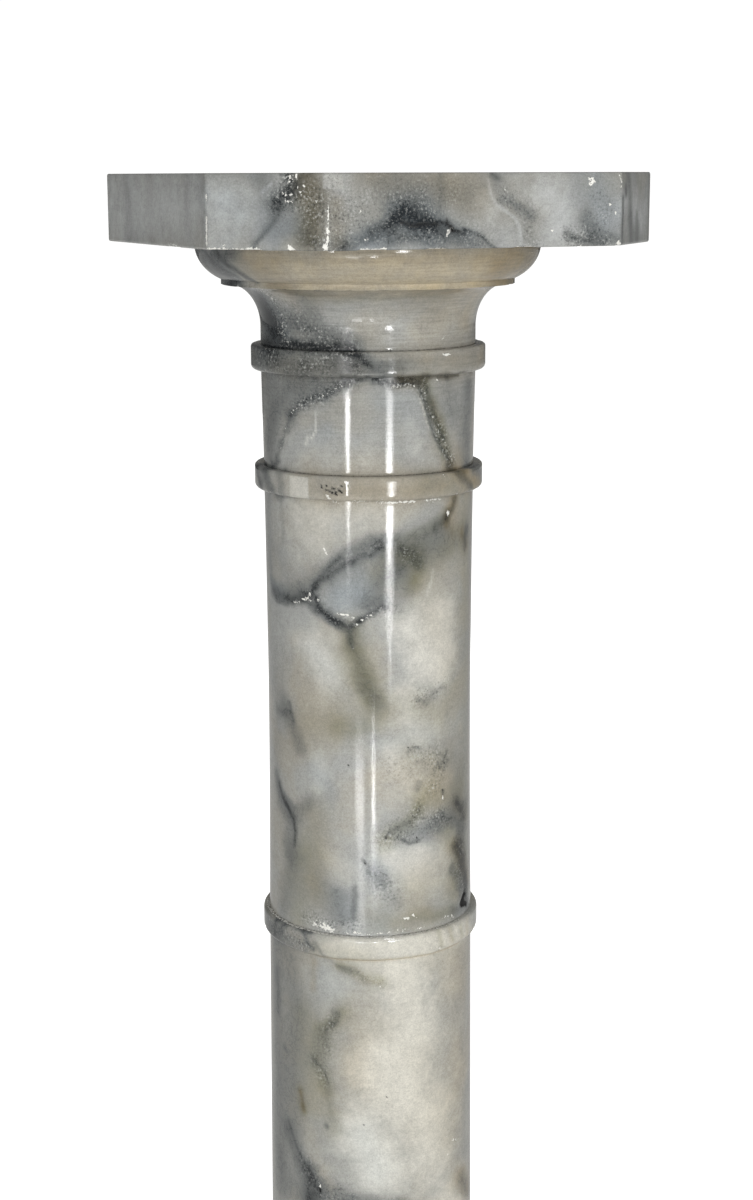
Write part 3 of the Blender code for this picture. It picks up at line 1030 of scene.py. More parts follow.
SHAFT_MARKS = [
    # A thin pale broken line just under the lower ring.
    ("chalk", 0.50, 0.8, [(-18, 806), (3, 805.9)]),
    ("chalk", 0.72, 0.9, [(4, 805.7), (25, 805.0)]),
    ("chalk", 0.68, 0.9, [(31, 804.9), (44, 804.6)]),
    ("pale", 0.42, 16, [(-42, 800), (-22, 796), (6, 798)]),
    ("pale", 0.30, 12, [(-40, 780), (-26, 776)]),
    ("slate", 0.24, 3, [(-54, 806), (-55, 790), (-54, 778)]),
    ("olive", 0.40, 13, [(66, 800), (70, 680), (68, 560)]),
    ("slate", 0.22, 12, [(76, 800), (76, 560)]),
    ("grit", 0.28, 5, [(11, 765), (12, 728)]),
    ("slate", 0.34, 9, [(-74, 800), (-72, 760)]),
    ("slate", 0.22, 12, [(-58, 765), (-46, 757)]),
    ("slate", 0.52, 7, [(-68, 748), (-54, 745), (-42, 747)]),
    ("cool", 0.60, 8, [(-70, 748), (-58, 745)]),
    ("slate", 0.72, 4.0, [(-66, 744), (-56, 742), (-46, 742), (-38, 745)]),
    ("slate", 0.40, 2.4, [(-62, 739), (-52, 738), (-45, 740)]),
    ("chalk", 0.80, 0.8, [(-45, 740.4), (-40, 741.2)]),
    ("chalk", 0.75, 0.8, [(-39, 743.2), (-36, 743.6)]),
    ("chalk", 0.60, 0.9, [(-36, 745), (-33, 743)]),
    ("chalk", 0.75, 0.8, [(-34, 748), (-34, 746.5)]),
    ("chalk", 0.60, 0.8, [(-29, 745.2), (-28, 743)]),
    ("slate", 0.75, 2.4, [(-40, 743), (-36, 745), (-33, 748), (-31, 752)]),
    ("slate", 0.42, 7.5, [(-36, 749), (-31, 756), (-24, 762), (-15, 768), (-4, 775), (6, 779)]),
    ("slate", 0.62, 2.2, [(-31, 753), (-28, 757), (-24, 759), (-18, 763), (-10, 768)]),
    ("slate", 0.55, 2.0, [(-30, 755), (-26, 761), (-20, 767), (-15, 771)]),
    ("slate", 0.50, 2.0, [(-12, 768), (-6, 771), (1, 773), (6, 777)]),
    ("slate", 0.30, 5, [(-10, 775), (0, 781), (8, 782)]),
    ("slate", 0.36, 8, [(6, 779), (18, 781), (30, 785), (44, 790)]),
    ("olive", 0.45, 6, [(24, 783), (36, 788), (46, 792)]),
    ("slate", 0.40, 2.4, [(38, 788), (43, 791), (47, 794)]),
    ("slate", 0.26, 10, [(14, 774), (26, 772), (40, 780)]),
    ("grit", 0.25, 4, [(-30, 755), (-18, 765), (-4, 775), (6, 780)]),
    ("pale", 0.80, 0.8, [(0, 772), (4, 774), (8, 775)]),
    ("pale", 0.85, 0.8, [(-26, 755.5), (-23, 758)]),
    ("chalk", 0.80, 0.7, [(-14.5, 763)]),
    ("slate", 0.07, 12, [(-16, 748), (-4, 756)]),
    ("cool", 1.00, 9, [(-15, 748), (-7, 752)]),
    ("cool", 0.40, 12, [(-16, 744), (0, 762)]),
    ("pale", 0.22, 9, [(-12, 749), (-4, 755)]),
    ("slate", 0.24, 14, [(-18, 752), (4, 760)]),
    ("pale", 0.20, 8, [(-16, 749), (-8, 752)]),
    ("slate", 0.30, 7, [(-4, 744), (6, 752), (16, 766)]),
    ("olive", 0.40, 8, [(4, 762), (16, 768)]),
    ("slate", 0.50, 4.5, [(10, 780), (18, 777), (24, 773), (27, 767)]),
    ("olive", 0.90, 7, [(14, 776), (26, 772), (27, 763), (25, 754)]),
    ("grit", 0.60, 5, [(18, 776), (26, 770)]),
    ("slate", 0.38, 10, [(16, 762), (20, 750), (16, 742)]),
    ("olive", 0.50, 12, [(30, 768), (44, 772), (60, 778)]),
    ("slate", 0.30, 12, [(34, 772), (52, 778), (66, 780)]),
    ("slate", 0.66, 3.5, [(68, 782), (66, 777), (67, 772)]),
    ("brown", 0.60, 5, [(62, 780), (68, 772)]),
    ("slate", 0.85, 2.2, [(-30, 746), (-28, 741), (-24, 737), (-20, 734), (-16, 732)]),
    ("slate", 0.95, 2.6, [(-19, 733), (-15, 731), (-11, 728), (-8, 729), (-4, 732)]),
    ("slate", 0.92, 2.0, [(-5, 731), (0, 735), (5, 738), (9, 741)]),
    ("slate", 0.72, 4.5, [(-32, 741), (-24, 735), (-16, 729)]),
    ("slate", 0.50, 4.5, [(0, 741), (8, 745)]),
    ("grit", 0.55, 3.4, [(-40, 745), (-32, 747), (-20, 734), (-8, 729), (8, 739)]),
    ("chalk", 0.62, 0.7, [(-17, 736), (-12, 735.8), (-8, 734)]),
    ("chalk", 0.70, 0.8, [(-4, 732.4), (0, 735), (2.4, 736.6)]),
    ("chalk", 0.66, 0.8, [(-5.6, 730.2), (-7, 728)]),
    ("chalk", 0.75, 0.7, [(-24.6, 776.8), (-22.4, 772.6)]),
    ("pale", 0.55, 1.2, [(37, 762), (35, 754), (33, 746)]),
    ("brown", 0.75, 4, [(53, 805), (51, 799), (47, 793), (46, 789)]),
    ("slate", 0.62, 3, [(53, 804), (52, 799), (47, 792)]),
    ("brown", 0.40, 7, [(52, 800), (52, 784)]),
    ("chalk", 0.95, 1.4, [(48, 796.2), (48, 794.8)]),
    ("olive", 0.85, 8.5, [(-9, 726), (-9, 718), (-7, 706), (-3, 694), (0, 684)]),
    ("slate", 0.36, 7.0, [(-9, 727), (-9, 718), (-6, 704), (-1, 690), (3, 682)]),
    ("slate", 0.55, 2.2, [(-10, 727), (-9, 718)]),
    ("olive", 0.62, 9, [(-3, 698), (2, 684), (8, 676), (2, 668), (-18, 664)]),
    ("slate", 0.14, 9, [(-2, 690), (6, 678), (-16, 664)]),
    ("olive", 0.36, 12, [(30, 676), (44, 668), (52, 682)]),
    ("pale", 0.34, 12, [(16, 690), (30, 700), (44, 690)]),
    ("olive", 0.30, 14, [(-36, 664), (-22, 670)]),
    ("brown", 0.16, 8, [(-6, 652), (2, 644), (-2, 630)]),
    ("slate", 0.32, 2.6, [(27, 681), (32, 679), (37, 685), (44, 687)]),
    ("grit", 0.60, 5, [(27, 681), (37, 685), (46, 689)]),
    ("slate", 0.44, 7, [(-54, 674), (-50, 667), (-46, 656), (-42, 648)]),
    ("slate", 0.50, 1.6, [(-50, 675), (-49, 670), (-47, 664)]),
    ("slate", 0.38, 4, [(-62, 668), (-52, 668)]),
    ("slate", 0.24, 12, [(-66, 690), (-60, 664), (-66, 640)]),
    ("brown", 0.18, 18, [(-50, 690), (-34, 676), (-46, 650)]),
    ("pale", 0.58, 13, [(-34, 716), (-20, 700)]),
    ("cool", 0.40, 12, [(-34, 710), (-22, 700)]),
    ("pale", 0.82, 15, [(20, 735), (28, 718), (34, 702)]),
    ("pale", 0.60, 13, [(44, 734), (46, 706)]),
    ("brown", 0.14, 16, [(40, 730), (48, 700)]),
    ("pale", 0.40, 12, [(20, 678), (26, 664)]),
    ("pale", 0.36, 13, [(12, 650), (24, 655), (40, 660)]),
    ("cool", 0.30, 12, [(8, 655), (24, 660)]),
    ("pale", 0.30, 10, [(-24, 690), (-26, 680)]),
    ("pale", 0.38, 8, [(-30, 646), (-26, 632), (-30, 622)]),
    ("cool", 0.50, 9, [(-30, 644), (-27, 628)]),
    ("brown", 0.28, 13, [(-34, 604), (-26, 588), (-32, 556)]),
    ("pale", 0.45, 15, [(14, 636), (28, 626)]),
    ("brown", 0.26, 16, [(14, 632), (40, 622)]),
    ("slate", 0.24, 12, [(52, 640), (62, 628), (58, 615)]),
    ("brown", 0.24, 12, [(50, 640), (60, 615)]),
    ("slate", 0.62, 5, [(-66, 623), (-60, 614), (-50, 605)]),
    ("slate", 0.72, 1.5, [
        (-62, 620), (-60, 615), (-56, 609), (-50, 604), (-47, 599), (-46, 592), (-47, 583)]),
    ("slate", 0.36, 6, [(-36, 614), (-41, 608), (-47, 602)]),
    ("slate", 0.40, 9, [(-60, 608), (-50, 596), (-52, 578)]),
    ("slate", 0.34, 11, [(-48, 576), (-54, 555), (-58, 540)]),
    ("olive", 0.50, 13, [(-40, 580), (-44, 560), (-44, 540)]),
    ("olive", 0.30, 12, [(-30, 612), (-34, 590), (-30, 556)]),
    ("slate", 0.22, 12, [(-28, 560), (-24, 544)]),
    ("pale", 0.42, 10, [(-20, 578), (-14, 568)]),
    ("slate", 0.50, 2.2, [(-8.5, 562), (-8.5, 552), (-9, 540)]),
    ("slate", 0.34, 8, [(-17, 556), (-16, 542)]),
    ("cool", 0.60, 10, [(-18, 556), (-12, 542)]),
    ("cool", 0.65, 10, [(3, 572), (10, 556), (8, 544)]),
    ("slate", 0.26, 7, [(4, 572), (8, 562), (14, 552)]),
    ("grit", 0.60, 9, [(2, 572), (12, 554)]),
    ("slate", 0.50, 1.4, [(-4, 580), (-2, 576), (-1, 571)]),
    ("slate", 0.30, 4, [(0, 568), (6, 565)]),
    ("olive", 0.75, 7, [(8, 592), (14, 598), (22, 603), (28, 612)]),
    ("slate", 0.32, 7, [(14, 592), (28, 594), (42, 597)]),
    ("slate", 0.34, 3, [(16, 600), (24, 605), (28, 609)]),
    ("grit", 0.60, 5, [(14, 600), (28, 610)]),
    ("slate", 0.46, 8, [(40, 600), (54, 603), (70, 600)]),
    ("olive", 0.45, 9, [(34, 618), (48, 612), (60, 616)]),
    ("slate", 0.62, 1.2, [(44, 603), (48, 598), (52, 599)]),
    ("slate", 0.50, 1.2, [(8, 594), (12, 598), (16, 600)]),
    ("slate", 0.50, 1.2, [(18, 592), (22, 589), (28, 590)]),
    ("slate", 0.80, 4, [(58, 607), (64, 602), (66, 595)]),
    ("slate", 0.50, 6, [(54, 596), (66, 588)]),
    ("brown", 0.42, 6, [(56, 605), (70, 596)]),
    ("cool", 0.35, 9, [(16, 594), (34, 597)]),
    ("grit", 0.75, 8, [(8, 594), (26, 598), (44, 602)]),
    ("grit", 0.60, 9, [(30, 646), (44, 638), (38, 626)]),
    ("slate", 0.50, 1.1, [(42, 634), (45, 639), (48, 644)]),
    ("slate", 0.42, 1.1, [(38, 633), (41, 638)]),
    ("slate", 0.42, 1.1, [(45, 632), (49, 638)]),
    ("olive", 0.34, 10, [(24, 648), (44, 640), (36, 624)]),
    ("slate", 0.50, 1.2, [(21, 648), (25, 651), (29, 650)]),
    ("slate", 0.34, 3, [(28, 627), (27, 623)]),
    ("chalk", 0.70, 0.8, [(44.5, 615.6), (44.6, 613.8)]),
    ("slate", 0.55, 1.4, [(45, 619), (45, 617)]),
    ("grit", 0.40, 8, [(10, 640), (20, 634)]),
    ("pale", 0.72, 11, [(12, 583), (26, 580)]),
    ("pale", 0.52, 15, [(20, 566), (34, 564), (42, 574)]),
    ("olive", 0.22, 14, [(24, 556), (44, 558)]),
    ("brown", 0.16, 16, [(30, 560), (48, 576)]),
    ("slate", 0.85, 6.5, [(58, 577), (63, 568), (68, 558), (70, 548), (70, 540)]),
    ("brown", 0.80, 6, [(57, 578), (64, 566), (72, 552)]),
    ("slate", 0.50, 5, [(52, 563), (58, 556), (62, 545)]),
    ("grit", 0.60, 8, [(58, 576), (62, 560), (66, 545)]),
    ("slate", 0.50, 6, [(60, 590), (64, 572), (66, 552)]),
    ("olive", 0.60, 8, [(48, 590), (58, 572), (54, 548)]),
    ("soot_and_shade", 0.36, 6.0, [(63, 562), (67, 550), (68, 541)]),
    ("soot_and_shade", 1.00, 2.4, [(66, 543), (63, 537), (70, 534)]),
    ("slate", 0.50, 5, [(54, 536), (74, 534)]),
    ("olive", 0.62, 6, [(26, 541), (40, 538), (52, 536)]),
    ("slate", 0.22, 5, [(24, 538), (46, 536)]),
    ("olive", 0.45, 7, [(2, 540), (18, 536)]),
    ("grit", 0.80, 5, [(-38, 538), (-24, 536), (-8, 536)]),
    ("chalk", 0.44, 3.6, [(-32, 535), (-22, 533)]),
    ("chalk", 0.70, 1.1, [(-26, 533.6), (-22, 532)]),
    ("chalk", 0.42, 1.3, [(-14, 531.8), (10, 531.6), (30, 532)]),
    ("chalk", 0.85, 0.9, [(19, 540), (22, 539)]),
    ("chalk", 0.85, 0.8, [(24.6, 541.6), (25.6, 539)]),
    ("chalk", 0.50, 1.6, [(44, 534), (54, 533)]),
]
SHAFT_SPECKS = [
    (8, 594), (8.4, 592.6), (10, 597), (18.6, 592.4), (20, 590), (27, 591.6), (27, 589.4), (48, 596),
    (46.6, 594), (24, 607), (28, 610), (45, 619), (44, 642), (47.6, 639), (46, 636.6), (43, 633.4),
    (41.6, 634), (51, 637),
    (-41, 652.6), (22, 651), (-12, 640.4), (-8.4, 664.6), (4, 660), (-3, 655), (-8.6, 716), (15, 600),
    (-47, 583.4), (-47, 582), (-46, 602), (-48, 604), (27, 680), (31, 679), (42, 685), (-3, 577), (66, 598),
]
ASTRAGAL_SPECKS = [
    (-23.2, 815.4), (-21.0, 813.4), (-20.8, 816.2), (-17.6, 815.6), (-17.2, 812.0), (-16.2, 814.2),
    (-15.4, 811.4), (-14.2, 813.6), (-13.4, 816.0), (-18.6, 813.0), (-12.6, 812.4),
]
print(len(CAPITAL_MARKS + NECK_MARKS + ASTRAGAL_MARKS + SHAFT_MARKS), "strokes on the upper drum")

# %% Colour the upper drum
UPPER_SEED = 3
UPPER_NICKS_SEED = 2.0
# A turn in degrees, and the height that the strokes are mirrored about.
SHAFT_BACK = (176, 668)
NECK_BACK = (165, 852)
LABEL_ANGLES = (-42, -30)
LABEL_TOP_GAP = 0.001
LABEL_LAYERS = {"pale": 0.62, "brown": 0.05}
LABEL_VEIL = 0.3
RIM_IN = 0.001


def bare_label(layers, places, angle):
    """A plain pale patch on the shaft's ring, where a label has been."""
    turn, height = np.degrees(angle), places[:, 2]
    where = (turn > LABEL_ANGLES[0]) & (turn < LABEL_ANGLES[1])
    where &= (height < ASTRAGAL_TOP - LABEL_TOP_GAP) & (height > SHAFT_TOP)
    bare_patch(layers, where, LABEL_LAYERS)
    layers["slate"][where] *= LABEL_VEIL


def colour_upper(mesh):
    """Lays the upper drum's marks."""
    places, angle, *shift = turned_places(mesh, UPPER_SEED)
    layers = empty_layers(places)
    marks = CAPITAL_MARKS + NECK_MARKS + ASTRAGAL_MARKS + SHAFT_MARKS
    marks += behind(SHAFT_MARKS, *SHAFT_BACK) + behind(NECK_MARKS, *NECK_BACK)
    marks += specks(SHAFT_SPECKS, "soot_and_shade", 0.80, 0.9)
    marks += specks(ASTRAGAL_SPECKS, "soot_and_shade", 1.0, 0.95)
    lay_on_drum(layers, places, angle, shift, marks)
    bare_label(layers, places, angle)
    # Painted shade: a dark line in the corner above each of the two rings.
    corner_shade_and_dirt(layers, places, [(NECK_HEAD, COLLAR_TOP), (SHAFT_HEAD, ASTRAGAL_TOP)])
    rims = [
        (COLLAR - CORNER, COLLAR_TOP), (COLLAR - RIM_IN, NECK_TOP + RIM_IN),
        (ASTRAGAL - RIM_IN, SHAFT_TOP + RIM_IN), (OVOLO_HEAD, UPPER_HEAD), (FILLET, FILLET_UNDERSIDE)]
    wear_away(mesh, layers, worn_rims(layers, places, angle, rims, UPPER_NICKS_SEED))


colour_upper(upper_mesh)
finish_piece("upper_drum_and_capital", upper_mesh, UPPER_STONE, "upper_shaft_and_capital")

# %% [markdown]
# ## The lower drum and its base
#
# The belt at mid height is part of the lower stone. Its top carries old plaster that has
# crumbled out of the joint. The stone is the palest of the four, cream towards the right
# and grey on the left. The foot isn't in the photo: it repeats the capital's shapes,
# turned over and plainer.

# %% Profile of the lower drum
BELT = 0.0702
BELT_DROP = 0.0160
LOWER_SHAFT_FOOT = 0.0680
LOWER_SHAFT_DROP = 0.3172
FOOT_ASTRAGAL = 0.0740
FOOT_ASTRAGAL_DROP = 0.0150
FOOT_DRUM_DROP = 0.0715
FLARE_SPREAD = 0.0220
FLARE_DROP = 0.0260
BASE_FILLET = 0.0940
BASE_FILLET_DROP = 0.0035
TORUS = LOWER[1][0]
BELT_HEAD_CORNER = 0.0022
BELT_FOOT_CORNER = 0.0042
LOWER_STEP = 0.0017

LOWER_HEAD = LOWER[1][2]
BELT_UNDERSIDE = LOWER_HEAD - BELT_DROP
FOOT_ASTRAGAL_TOP = BELT_UNDERSIDE - LOWER_SHAFT_DROP
FOOT_DRUM_TOP = FOOT_ASTRAGAL_TOP - FOOT_ASTRAGAL_DROP
FLARE_TOP = FOOT_DRUM_TOP - FOOT_DRUM_DROP
BASE_FILLET_TOP = FLARE_TOP - FLARE_DROP
TORUS_TOP = BASE_FILLET_TOP - BASE_FILLET_DROP
LOWER_FOOT = LOWER[0][2]


def lower_profile():
    """The lower drum's profile, from the middle of its top to the middle of its foot."""
    torus_half = (TORUS_TOP - LOWER_FOOT) / 2
    flare_centre = (LOWER_SHAFT_FOOT + FLARE_SPREAD, FLARE_TOP)
    torus_centre = (TORUS - torus_half, TORUS_TOP - torus_half)
    points = [(0, LOWER_HEAD)]
    points += ring_profile(BELT, LOWER_HEAD, BELT_UNDERSIDE, BELT_HEAD_CORNER, BELT_FOOT_CORNER)
    points += [(SHAFT_JOINT, BELT_UNDERSIDE), (LOWER_SHAFT_FOOT, FOOT_ASTRAGAL_TOP)]
    points += ring_profile(
        FOOT_ASTRAGAL, FOOT_ASTRAGAL_TOP, FOOT_DRUM_TOP, RING_HEAD_CORNER, RING_FOOT_CORNER)
    points += [(LOWER_SHAFT_FOOT, FOOT_DRUM_TOP)]
    points += arc(flare_centre, (FLARE_SPREAD, FLARE_DROP), 180, 270, COARSE_STEP)
    points += [(BASE_FILLET, BASE_FILLET_TOP), (BASE_FILLET, TORUS_TOP)]
    points += arc(torus_centre, (torus_half, torus_half), 90, -90, COARSE_STEP)
    points += [(0, LOWER_FOOT)]
    return closely_stepped(points, LOWER_STEP)


lower_mesh = turn_on_lathe("lower drum", lower_profile())

# %% Marks of the lower drum
LOWER_MARKS = [
    ("slate", 0.42, 9, [(-80, 524), (-60, 520)]),
    ("slate", 0.80, 2.6, [(-60, 530), (-46, 531), (-34, 530)]),
    ("slate", 0.62, 2.4, [(-60, 528), (-63, 519)]),
    ("slate", 0.55, 2.0, [(-50, 530), (-55, 523)]),
    ("slate", 0.50, 1.6, [(-38, 530), (-35, 523), (-31, 519)]),
    ("slate", 0.36, 1.6, [(-30, 523), (-25, 516)]),
    ("slate", 0.40, 7, [(-75, 522), (-50, 521), (-36, 520)]),
    ("grit", 0.70, 6, [(-66, 524), (-36, 522)]),
    ("pale", 0.72, 13, [(-18, 522), (60, 522)]),
    ("olive", 0.25, 6, [(-30, 520), (-4, 518)]),
    ("pale", 0.95, 0.7, [(40, 529), (42, 518)]),
    ("olive", 0.50, 1.6, [(38, 529), (40, 518)]),
    ("olive", 0.45, 1.8, [(46, 528), (49, 518)]),
    ("olive", 0.45, 2.0, [(56, 527), (58, 519)]),
    ("pale", 0.95, 0.7, [(36, 524), (37, 517)]),
    ("pale", 0.95, 0.7, [(50, 529), (53, 522)]),
    ("pale", 0.95, 0.7, [(55, 526), (60, 519)]),
    ("brown", 0.22, 2.0, [(44, 528), (47, 518)]),
    ("brown", 0.25, 2.0, [(63, 528), (64, 517)]),
    ("brown", 0.55, 1.2, [(-30, 514.2), (0, 514), (60, 514)]),
    ("chalk", 0.60, 0.9, [(8, 528.4), (14, 528)]),
    ("slate", 0.26, 1.8, [(-28, 514), (-20, 511), (-12, 506)]),
    ("slate", 0.26, 3.6, [(-16, 508), (-8, 504), (-2, 500)]),
    ("olive", 0.70, 4.0, [(-18, 510), (-10, 505), (-2, 501), (6, 499)]),
    ("grit", 0.55, 3.0, [(-12, 506), (0, 500), (8, 498)]),
    ("cool", 0.45, 11, [(-26, 500), (-20, 488)]),
    ("pale", 0.22, 10, [(-24, 498), (-18, 486)]),
    ("brown", 0.30, 3, [(-33, 508), (-33, 490)]),
    ("chalk", 0.85, 1.0, [(5.6, 495.6)]),
    ("slate", 0.46, 13, [(-70, 510), (-68, 460), (-66, 420), (-68, 380), (-66, 340)]),
    ("slate", 0.38, 14, [(-50, 505), (-46, 470), (-50, 430), (-48, 395)]),
    ("slate", 0.45, 4, [(-67, 492), (-65, 478), (-66, 464)]),
    ("olive", 0.40, 12, [(-40, 470), (-38, 440), (-36, 410)]),
    ("slate", 0.24, 5, [(-18, 477), (-20, 469), (-26, 464)]),
    ("olive", 0.75, 6.5, [(-15, 479), (-20, 470), (-27, 464)]),
    ("slate", 0.26, 1.2, [(-18, 471), (-22, 466), (-25, 464), (-26, 458), (-25, 453)]),
    ("slate", 0.30, 4, [(-18, 476), (-22, 470)]),
    ("grit", 0.60, 6, [(-18, 476), (-24, 464), (-26, 452)]),
    ("slate", 0.22, 7, [(-28, 458), (-30, 444)]),
    ("olive", 0.62, 8, [(-28, 456), (-30, 440), (-26, 426)]),
    ("slate", 0.28, 1.2, [(-33, 442), (-29, 439), (-27, 436), (-25, 431), (-24, 427)]),
    ("grit", 0.55, 6, [(-30, 442), (-26, 430)]),
    ("slate", 0.20, 5, [(-33, 441), (-28, 434), (-25, 424)]),
    ("olive", 0.40, 6, [(-26, 426), (-23, 412), (-22, 396)]),
    ("brown", 0.14, 12, [(-12, 450), (-8, 432)]),
    ("slate", 0.16, 4, [(-24, 420), (-23, 402)]),
    ("brown", 0.60, 2.4, [(-43, 416), (-41, 404)]),
    ("olive", 0.62, 3.4, [(-44, 418), (-41, 402)]),
    ("slate", 0.24, 1.4, [(-42, 414), (-41, 406)]),
    ("slate", 0.40, 2.0, [(-58, 441), (-56, 440)]),
    ("slate", 0.55, 1.6, [(-26.4, 398.4), (-25.4, 397.6)]),
    ("pale", 0.82, 22, [(18, 500), (26, 465), (16, 430)]),
    ("pale", 0.82, 20, [(2, 440), (14, 420), (34, 405)]),
    ("pale", 0.75, 17, [(34, 390), (34, 365)]),
    ("pale", 0.95, 17, [(-6, 396), (2, 380), (4, 366)]),
    ("cool", 0.60, 14, [(-6, 394), (0, 378), (2, 366)]),
    ("pale", 0.30, 16, [(50, 500), (54, 440), (52, 380)]),
    ("brown", 0.22, 16, [(54, 500), (60, 440), (56, 380)]),
    ("brown", 0.12, 12, [(-10, 455), (-12, 430)]),
    ("brown", 0.10, 18, [(36, 440), (40, 400)]),
    ("slate", 0.60, 9, [(-54, 384), (-46, 372), (-40, 362), (-34, 348)]),
    ("slate", 0.50, 1.6, [(-54, 392), (-50, 384), (-45, 374), (-40, 368), (-36, 361), (-33, 354)]),
    ("slate", 0.68, 7, [(-38, 364), (-34, 352), (-36, 342)]),
    ("grit", 0.70, 8, [(-38, 366), (-30, 352), (-16, 350)]),
    ("slate", 0.40, 7, [(-26, 352), (-8, 349), (14, 346)]),
    ("slate", 0.30, 12, [(-62, 360), (-50, 345)]),
    ("chalk", 0.75, 0.7, [(-30, 356), (-30, 353.6)]),
    ("chalk", 0.75, 0.7, [(-30.2, 349), (-30.4, 346)]),
    ("soot_and_shade", 0.95, 1.2, [(-30, 352.6), (-29.8, 350.4)]),
    ("brown", 0.62, 9, [(60, 348), (76, 332)]),
    ("slate", 0.45, 9, [(62, 344), (76, 330)]),
]
LOWER_SPECKS = [(-4.4, 401.4), (5.4, 400.4), (8.6, 420), (-57, 440), (-31, 439)]
LOWER_DOTS = [
    (35.4, 460.4), (46, 453.6), (46, 382), (47, 383.6), (52.4, 378.4), (53.6, 377.6), (56, 377), (57, 376.4),
    (48, 370), (48.6, 368.6), (46, 373.4), (28, 352), (-24, 361), (52, 359),
]
print(len(LOWER_MARKS), "strokes on the lower drum")

# %% Colour the lower drum
LOWER_SEED = 8
LOWER_NICKS_SEED = 5.0
BELT_FOOT_MM = 512
# A turn in degrees, and the height that the strokes are mirrored about.
LOWER_BACK = (178, 430)
FOOT_BACK = (150, 250)
FOOT_TURN = 35
FOOT_LOWERED = 165
PLASTER = 0.62
PLASTER_HEIGHT = 0.0012
PLASTER_LEFT = 0.35
PLASTER_AROUND = 0.35
BELT_RIM_UP = 0.003
TORUS_RIM_UP = 0.012


def joint_plaster(places, angle):
    """Old plaster on the belt's top, beside the joint: thickest in front, a little to the left."""
    spread = np.hypot(places[:, 0], places[:, 1])
    bed = np.exp(-(((places[:, 2] - LOWER_HEAD) / PLASTER_HEIGHT) ** 2)) * (spread > SHAFT_JOINT - 0.001)
    front = np.clip(np.cos(angle + PLASTER_LEFT), 0, 1)
    amount = PLASTER * bed * (PLASTER_AROUND + (1 - PLASTER_AROUND) * front)
    return amount * (spread < SHAFT_JOINT + 0.0022)


def colour_lower(mesh):
    """Lays the lower drum's marks, and repeats some of them on the foot that the photo leaves out."""
    places, angle, *shift = turned_places(mesh, LOWER_SEED)
    layers = empty_layers(places)
    shaft_marks = [mark for mark in LOWER_MARKS if mark[3][0][1] < BELT_FOOT_MM]
    below = [(layer, strength, width, [(x + FOOT_TURN, z - FOOT_LOWERED) for x, z in points])
             for layer, strength, width, points in without_wear(shaft_marks)]
    marks = LOWER_MARKS + behind(shaft_marks, *LOWER_BACK) + below + behind(below, *FOOT_BACK)
    marks += specks(LOWER_SPECKS, "soot_and_shade", 0.7, 0.9) + specks(LOWER_DOTS, "chalk", 0.75, 0.8)
    lay_on_drum(layers, places, angle, shift, marks)
    add_mark(layers, "chalk", joint_plaster(places, angle))
    # Painted shade: a dark line in the corner above the foot's ring.
    corner_shade_and_dirt(layers, places, [(LOWER_SHAFT_FOOT, FOOT_ASTRAGAL_TOP)])
    rims = [
        (BELT, BELT_UNDERSIDE + BELT_RIM_UP), (FOOT_ASTRAGAL, FOOT_ASTRAGAL_TOP),
        (TORUS, LOWER_FOOT + TORUS_RIM_UP)]
    wear_away(mesh, layers, worn_rims(layers, places, angle, rims, LOWER_NICKS_SEED))


colour_lower(lower_mesh)
finish_piece("lower_drum_and_base", lower_mesh, LOWER_STONE, "lower_shaft_and_base")

# %% [markdown]
# ## The canted slabs
#
# Plinth and top plate are squares with their corners sawn off. A cube is stretched to the
# slab's size, one bevel takes its corners, a second one rounds its arrises, and its sides
# are divided finely, because the marks need points. The flat faces are closed with rings
# that shrink towards the middle. A place on a side is read along the rim: millimetres to
# the right of the arris between the front's canted corner and its wide side, and height.
# On the flat faces it is read in millimetres to the right of and behind the middle. The
# underside isn't seen, so it has only a few rings near its rim.

# %% Build a slab
SLAB_STEP = 0.0012
SLAB_ROWS = 34
ARRIS = 0.0014
ARRIS_SEGMENTS = 4
# The long sides and the canted corners have level edges between these lengths.
LONG_EDGES = (0.1, 1.0)
CANTED_EDGES = (0.02, 0.1)
LEVEL_TOLERANCE = 1e-6
UPRIGHT_RISE = 0.01
RIM_TOLERANCE = 0.001
LID_RINGS = 6
LID_STEP = 0.002
LID_INNER_RINGS = 26
LID_INNER_SHRINK = 0.93


def rise(edge):
    """How much higher one end of an edge is than the other."""
    return abs(edge.verts[0].co.z - edge.verts[1].co.z)


def level_edges(bm, shortest, longest):
    """The level edges whose lengths lie between two values."""
    return [e for e in bm.edges if shortest < e.calc_length() <= longest and rise(e) < LEVEL_TOLERANCE]


def upright_edges(bm):
    """The edges that stand upright over more than a centimetre."""
    return [e for e in bm.edges if rise(e) > UPRIGHT_RISE]


def bevel(bm, edges, offset, segments):
    """Takes off or rounds edges."""
    bmesh.ops.bevel(
        bm, geom=edges, offset=offset, offset_type="OFFSET", segments=segments, profile=0.5,
        affect="EDGES", material=-1)


def close_lid(bm, rim, shrinks):
    """Closes a flat lid with rings that shrink towards its middle, and one face inside them."""
    for shrink in shrinks:
        grown = bmesh.ops.extrude_edge_only(bm, edges=rim)["geom"]
        rim = [part for part in grown if isinstance(part, bmesh.types.BMEdge) and part.is_boundary]
        corners = [part for part in grown if isinstance(part, bmesh.types.BMVert)]
        bmesh.ops.scale(bm, vec=(shrink, shrink, 1), verts=corners)
    bmesh.ops.holes_fill(bm, edges=rim, sides=0)


def divide_sides(bm):
    """Cuts the long sides and the canted corners into columns, and all of them into rows."""
    for shortest, longest in (LONG_EDGES, CANTED_EDGES):
        sides = level_edges(bm, shortest, longest)
        cuts = round(max(e.calc_length() for e in sides) / SLAB_STEP)
        bmesh.ops.subdivide_edges(bm, edges=sides, cuts=cuts, use_grid_fill=True)
    bmesh.ops.subdivide_edges(bm, edges=upright_edges(bm), cuts=SLAB_ROWS, use_grid_fill=True)


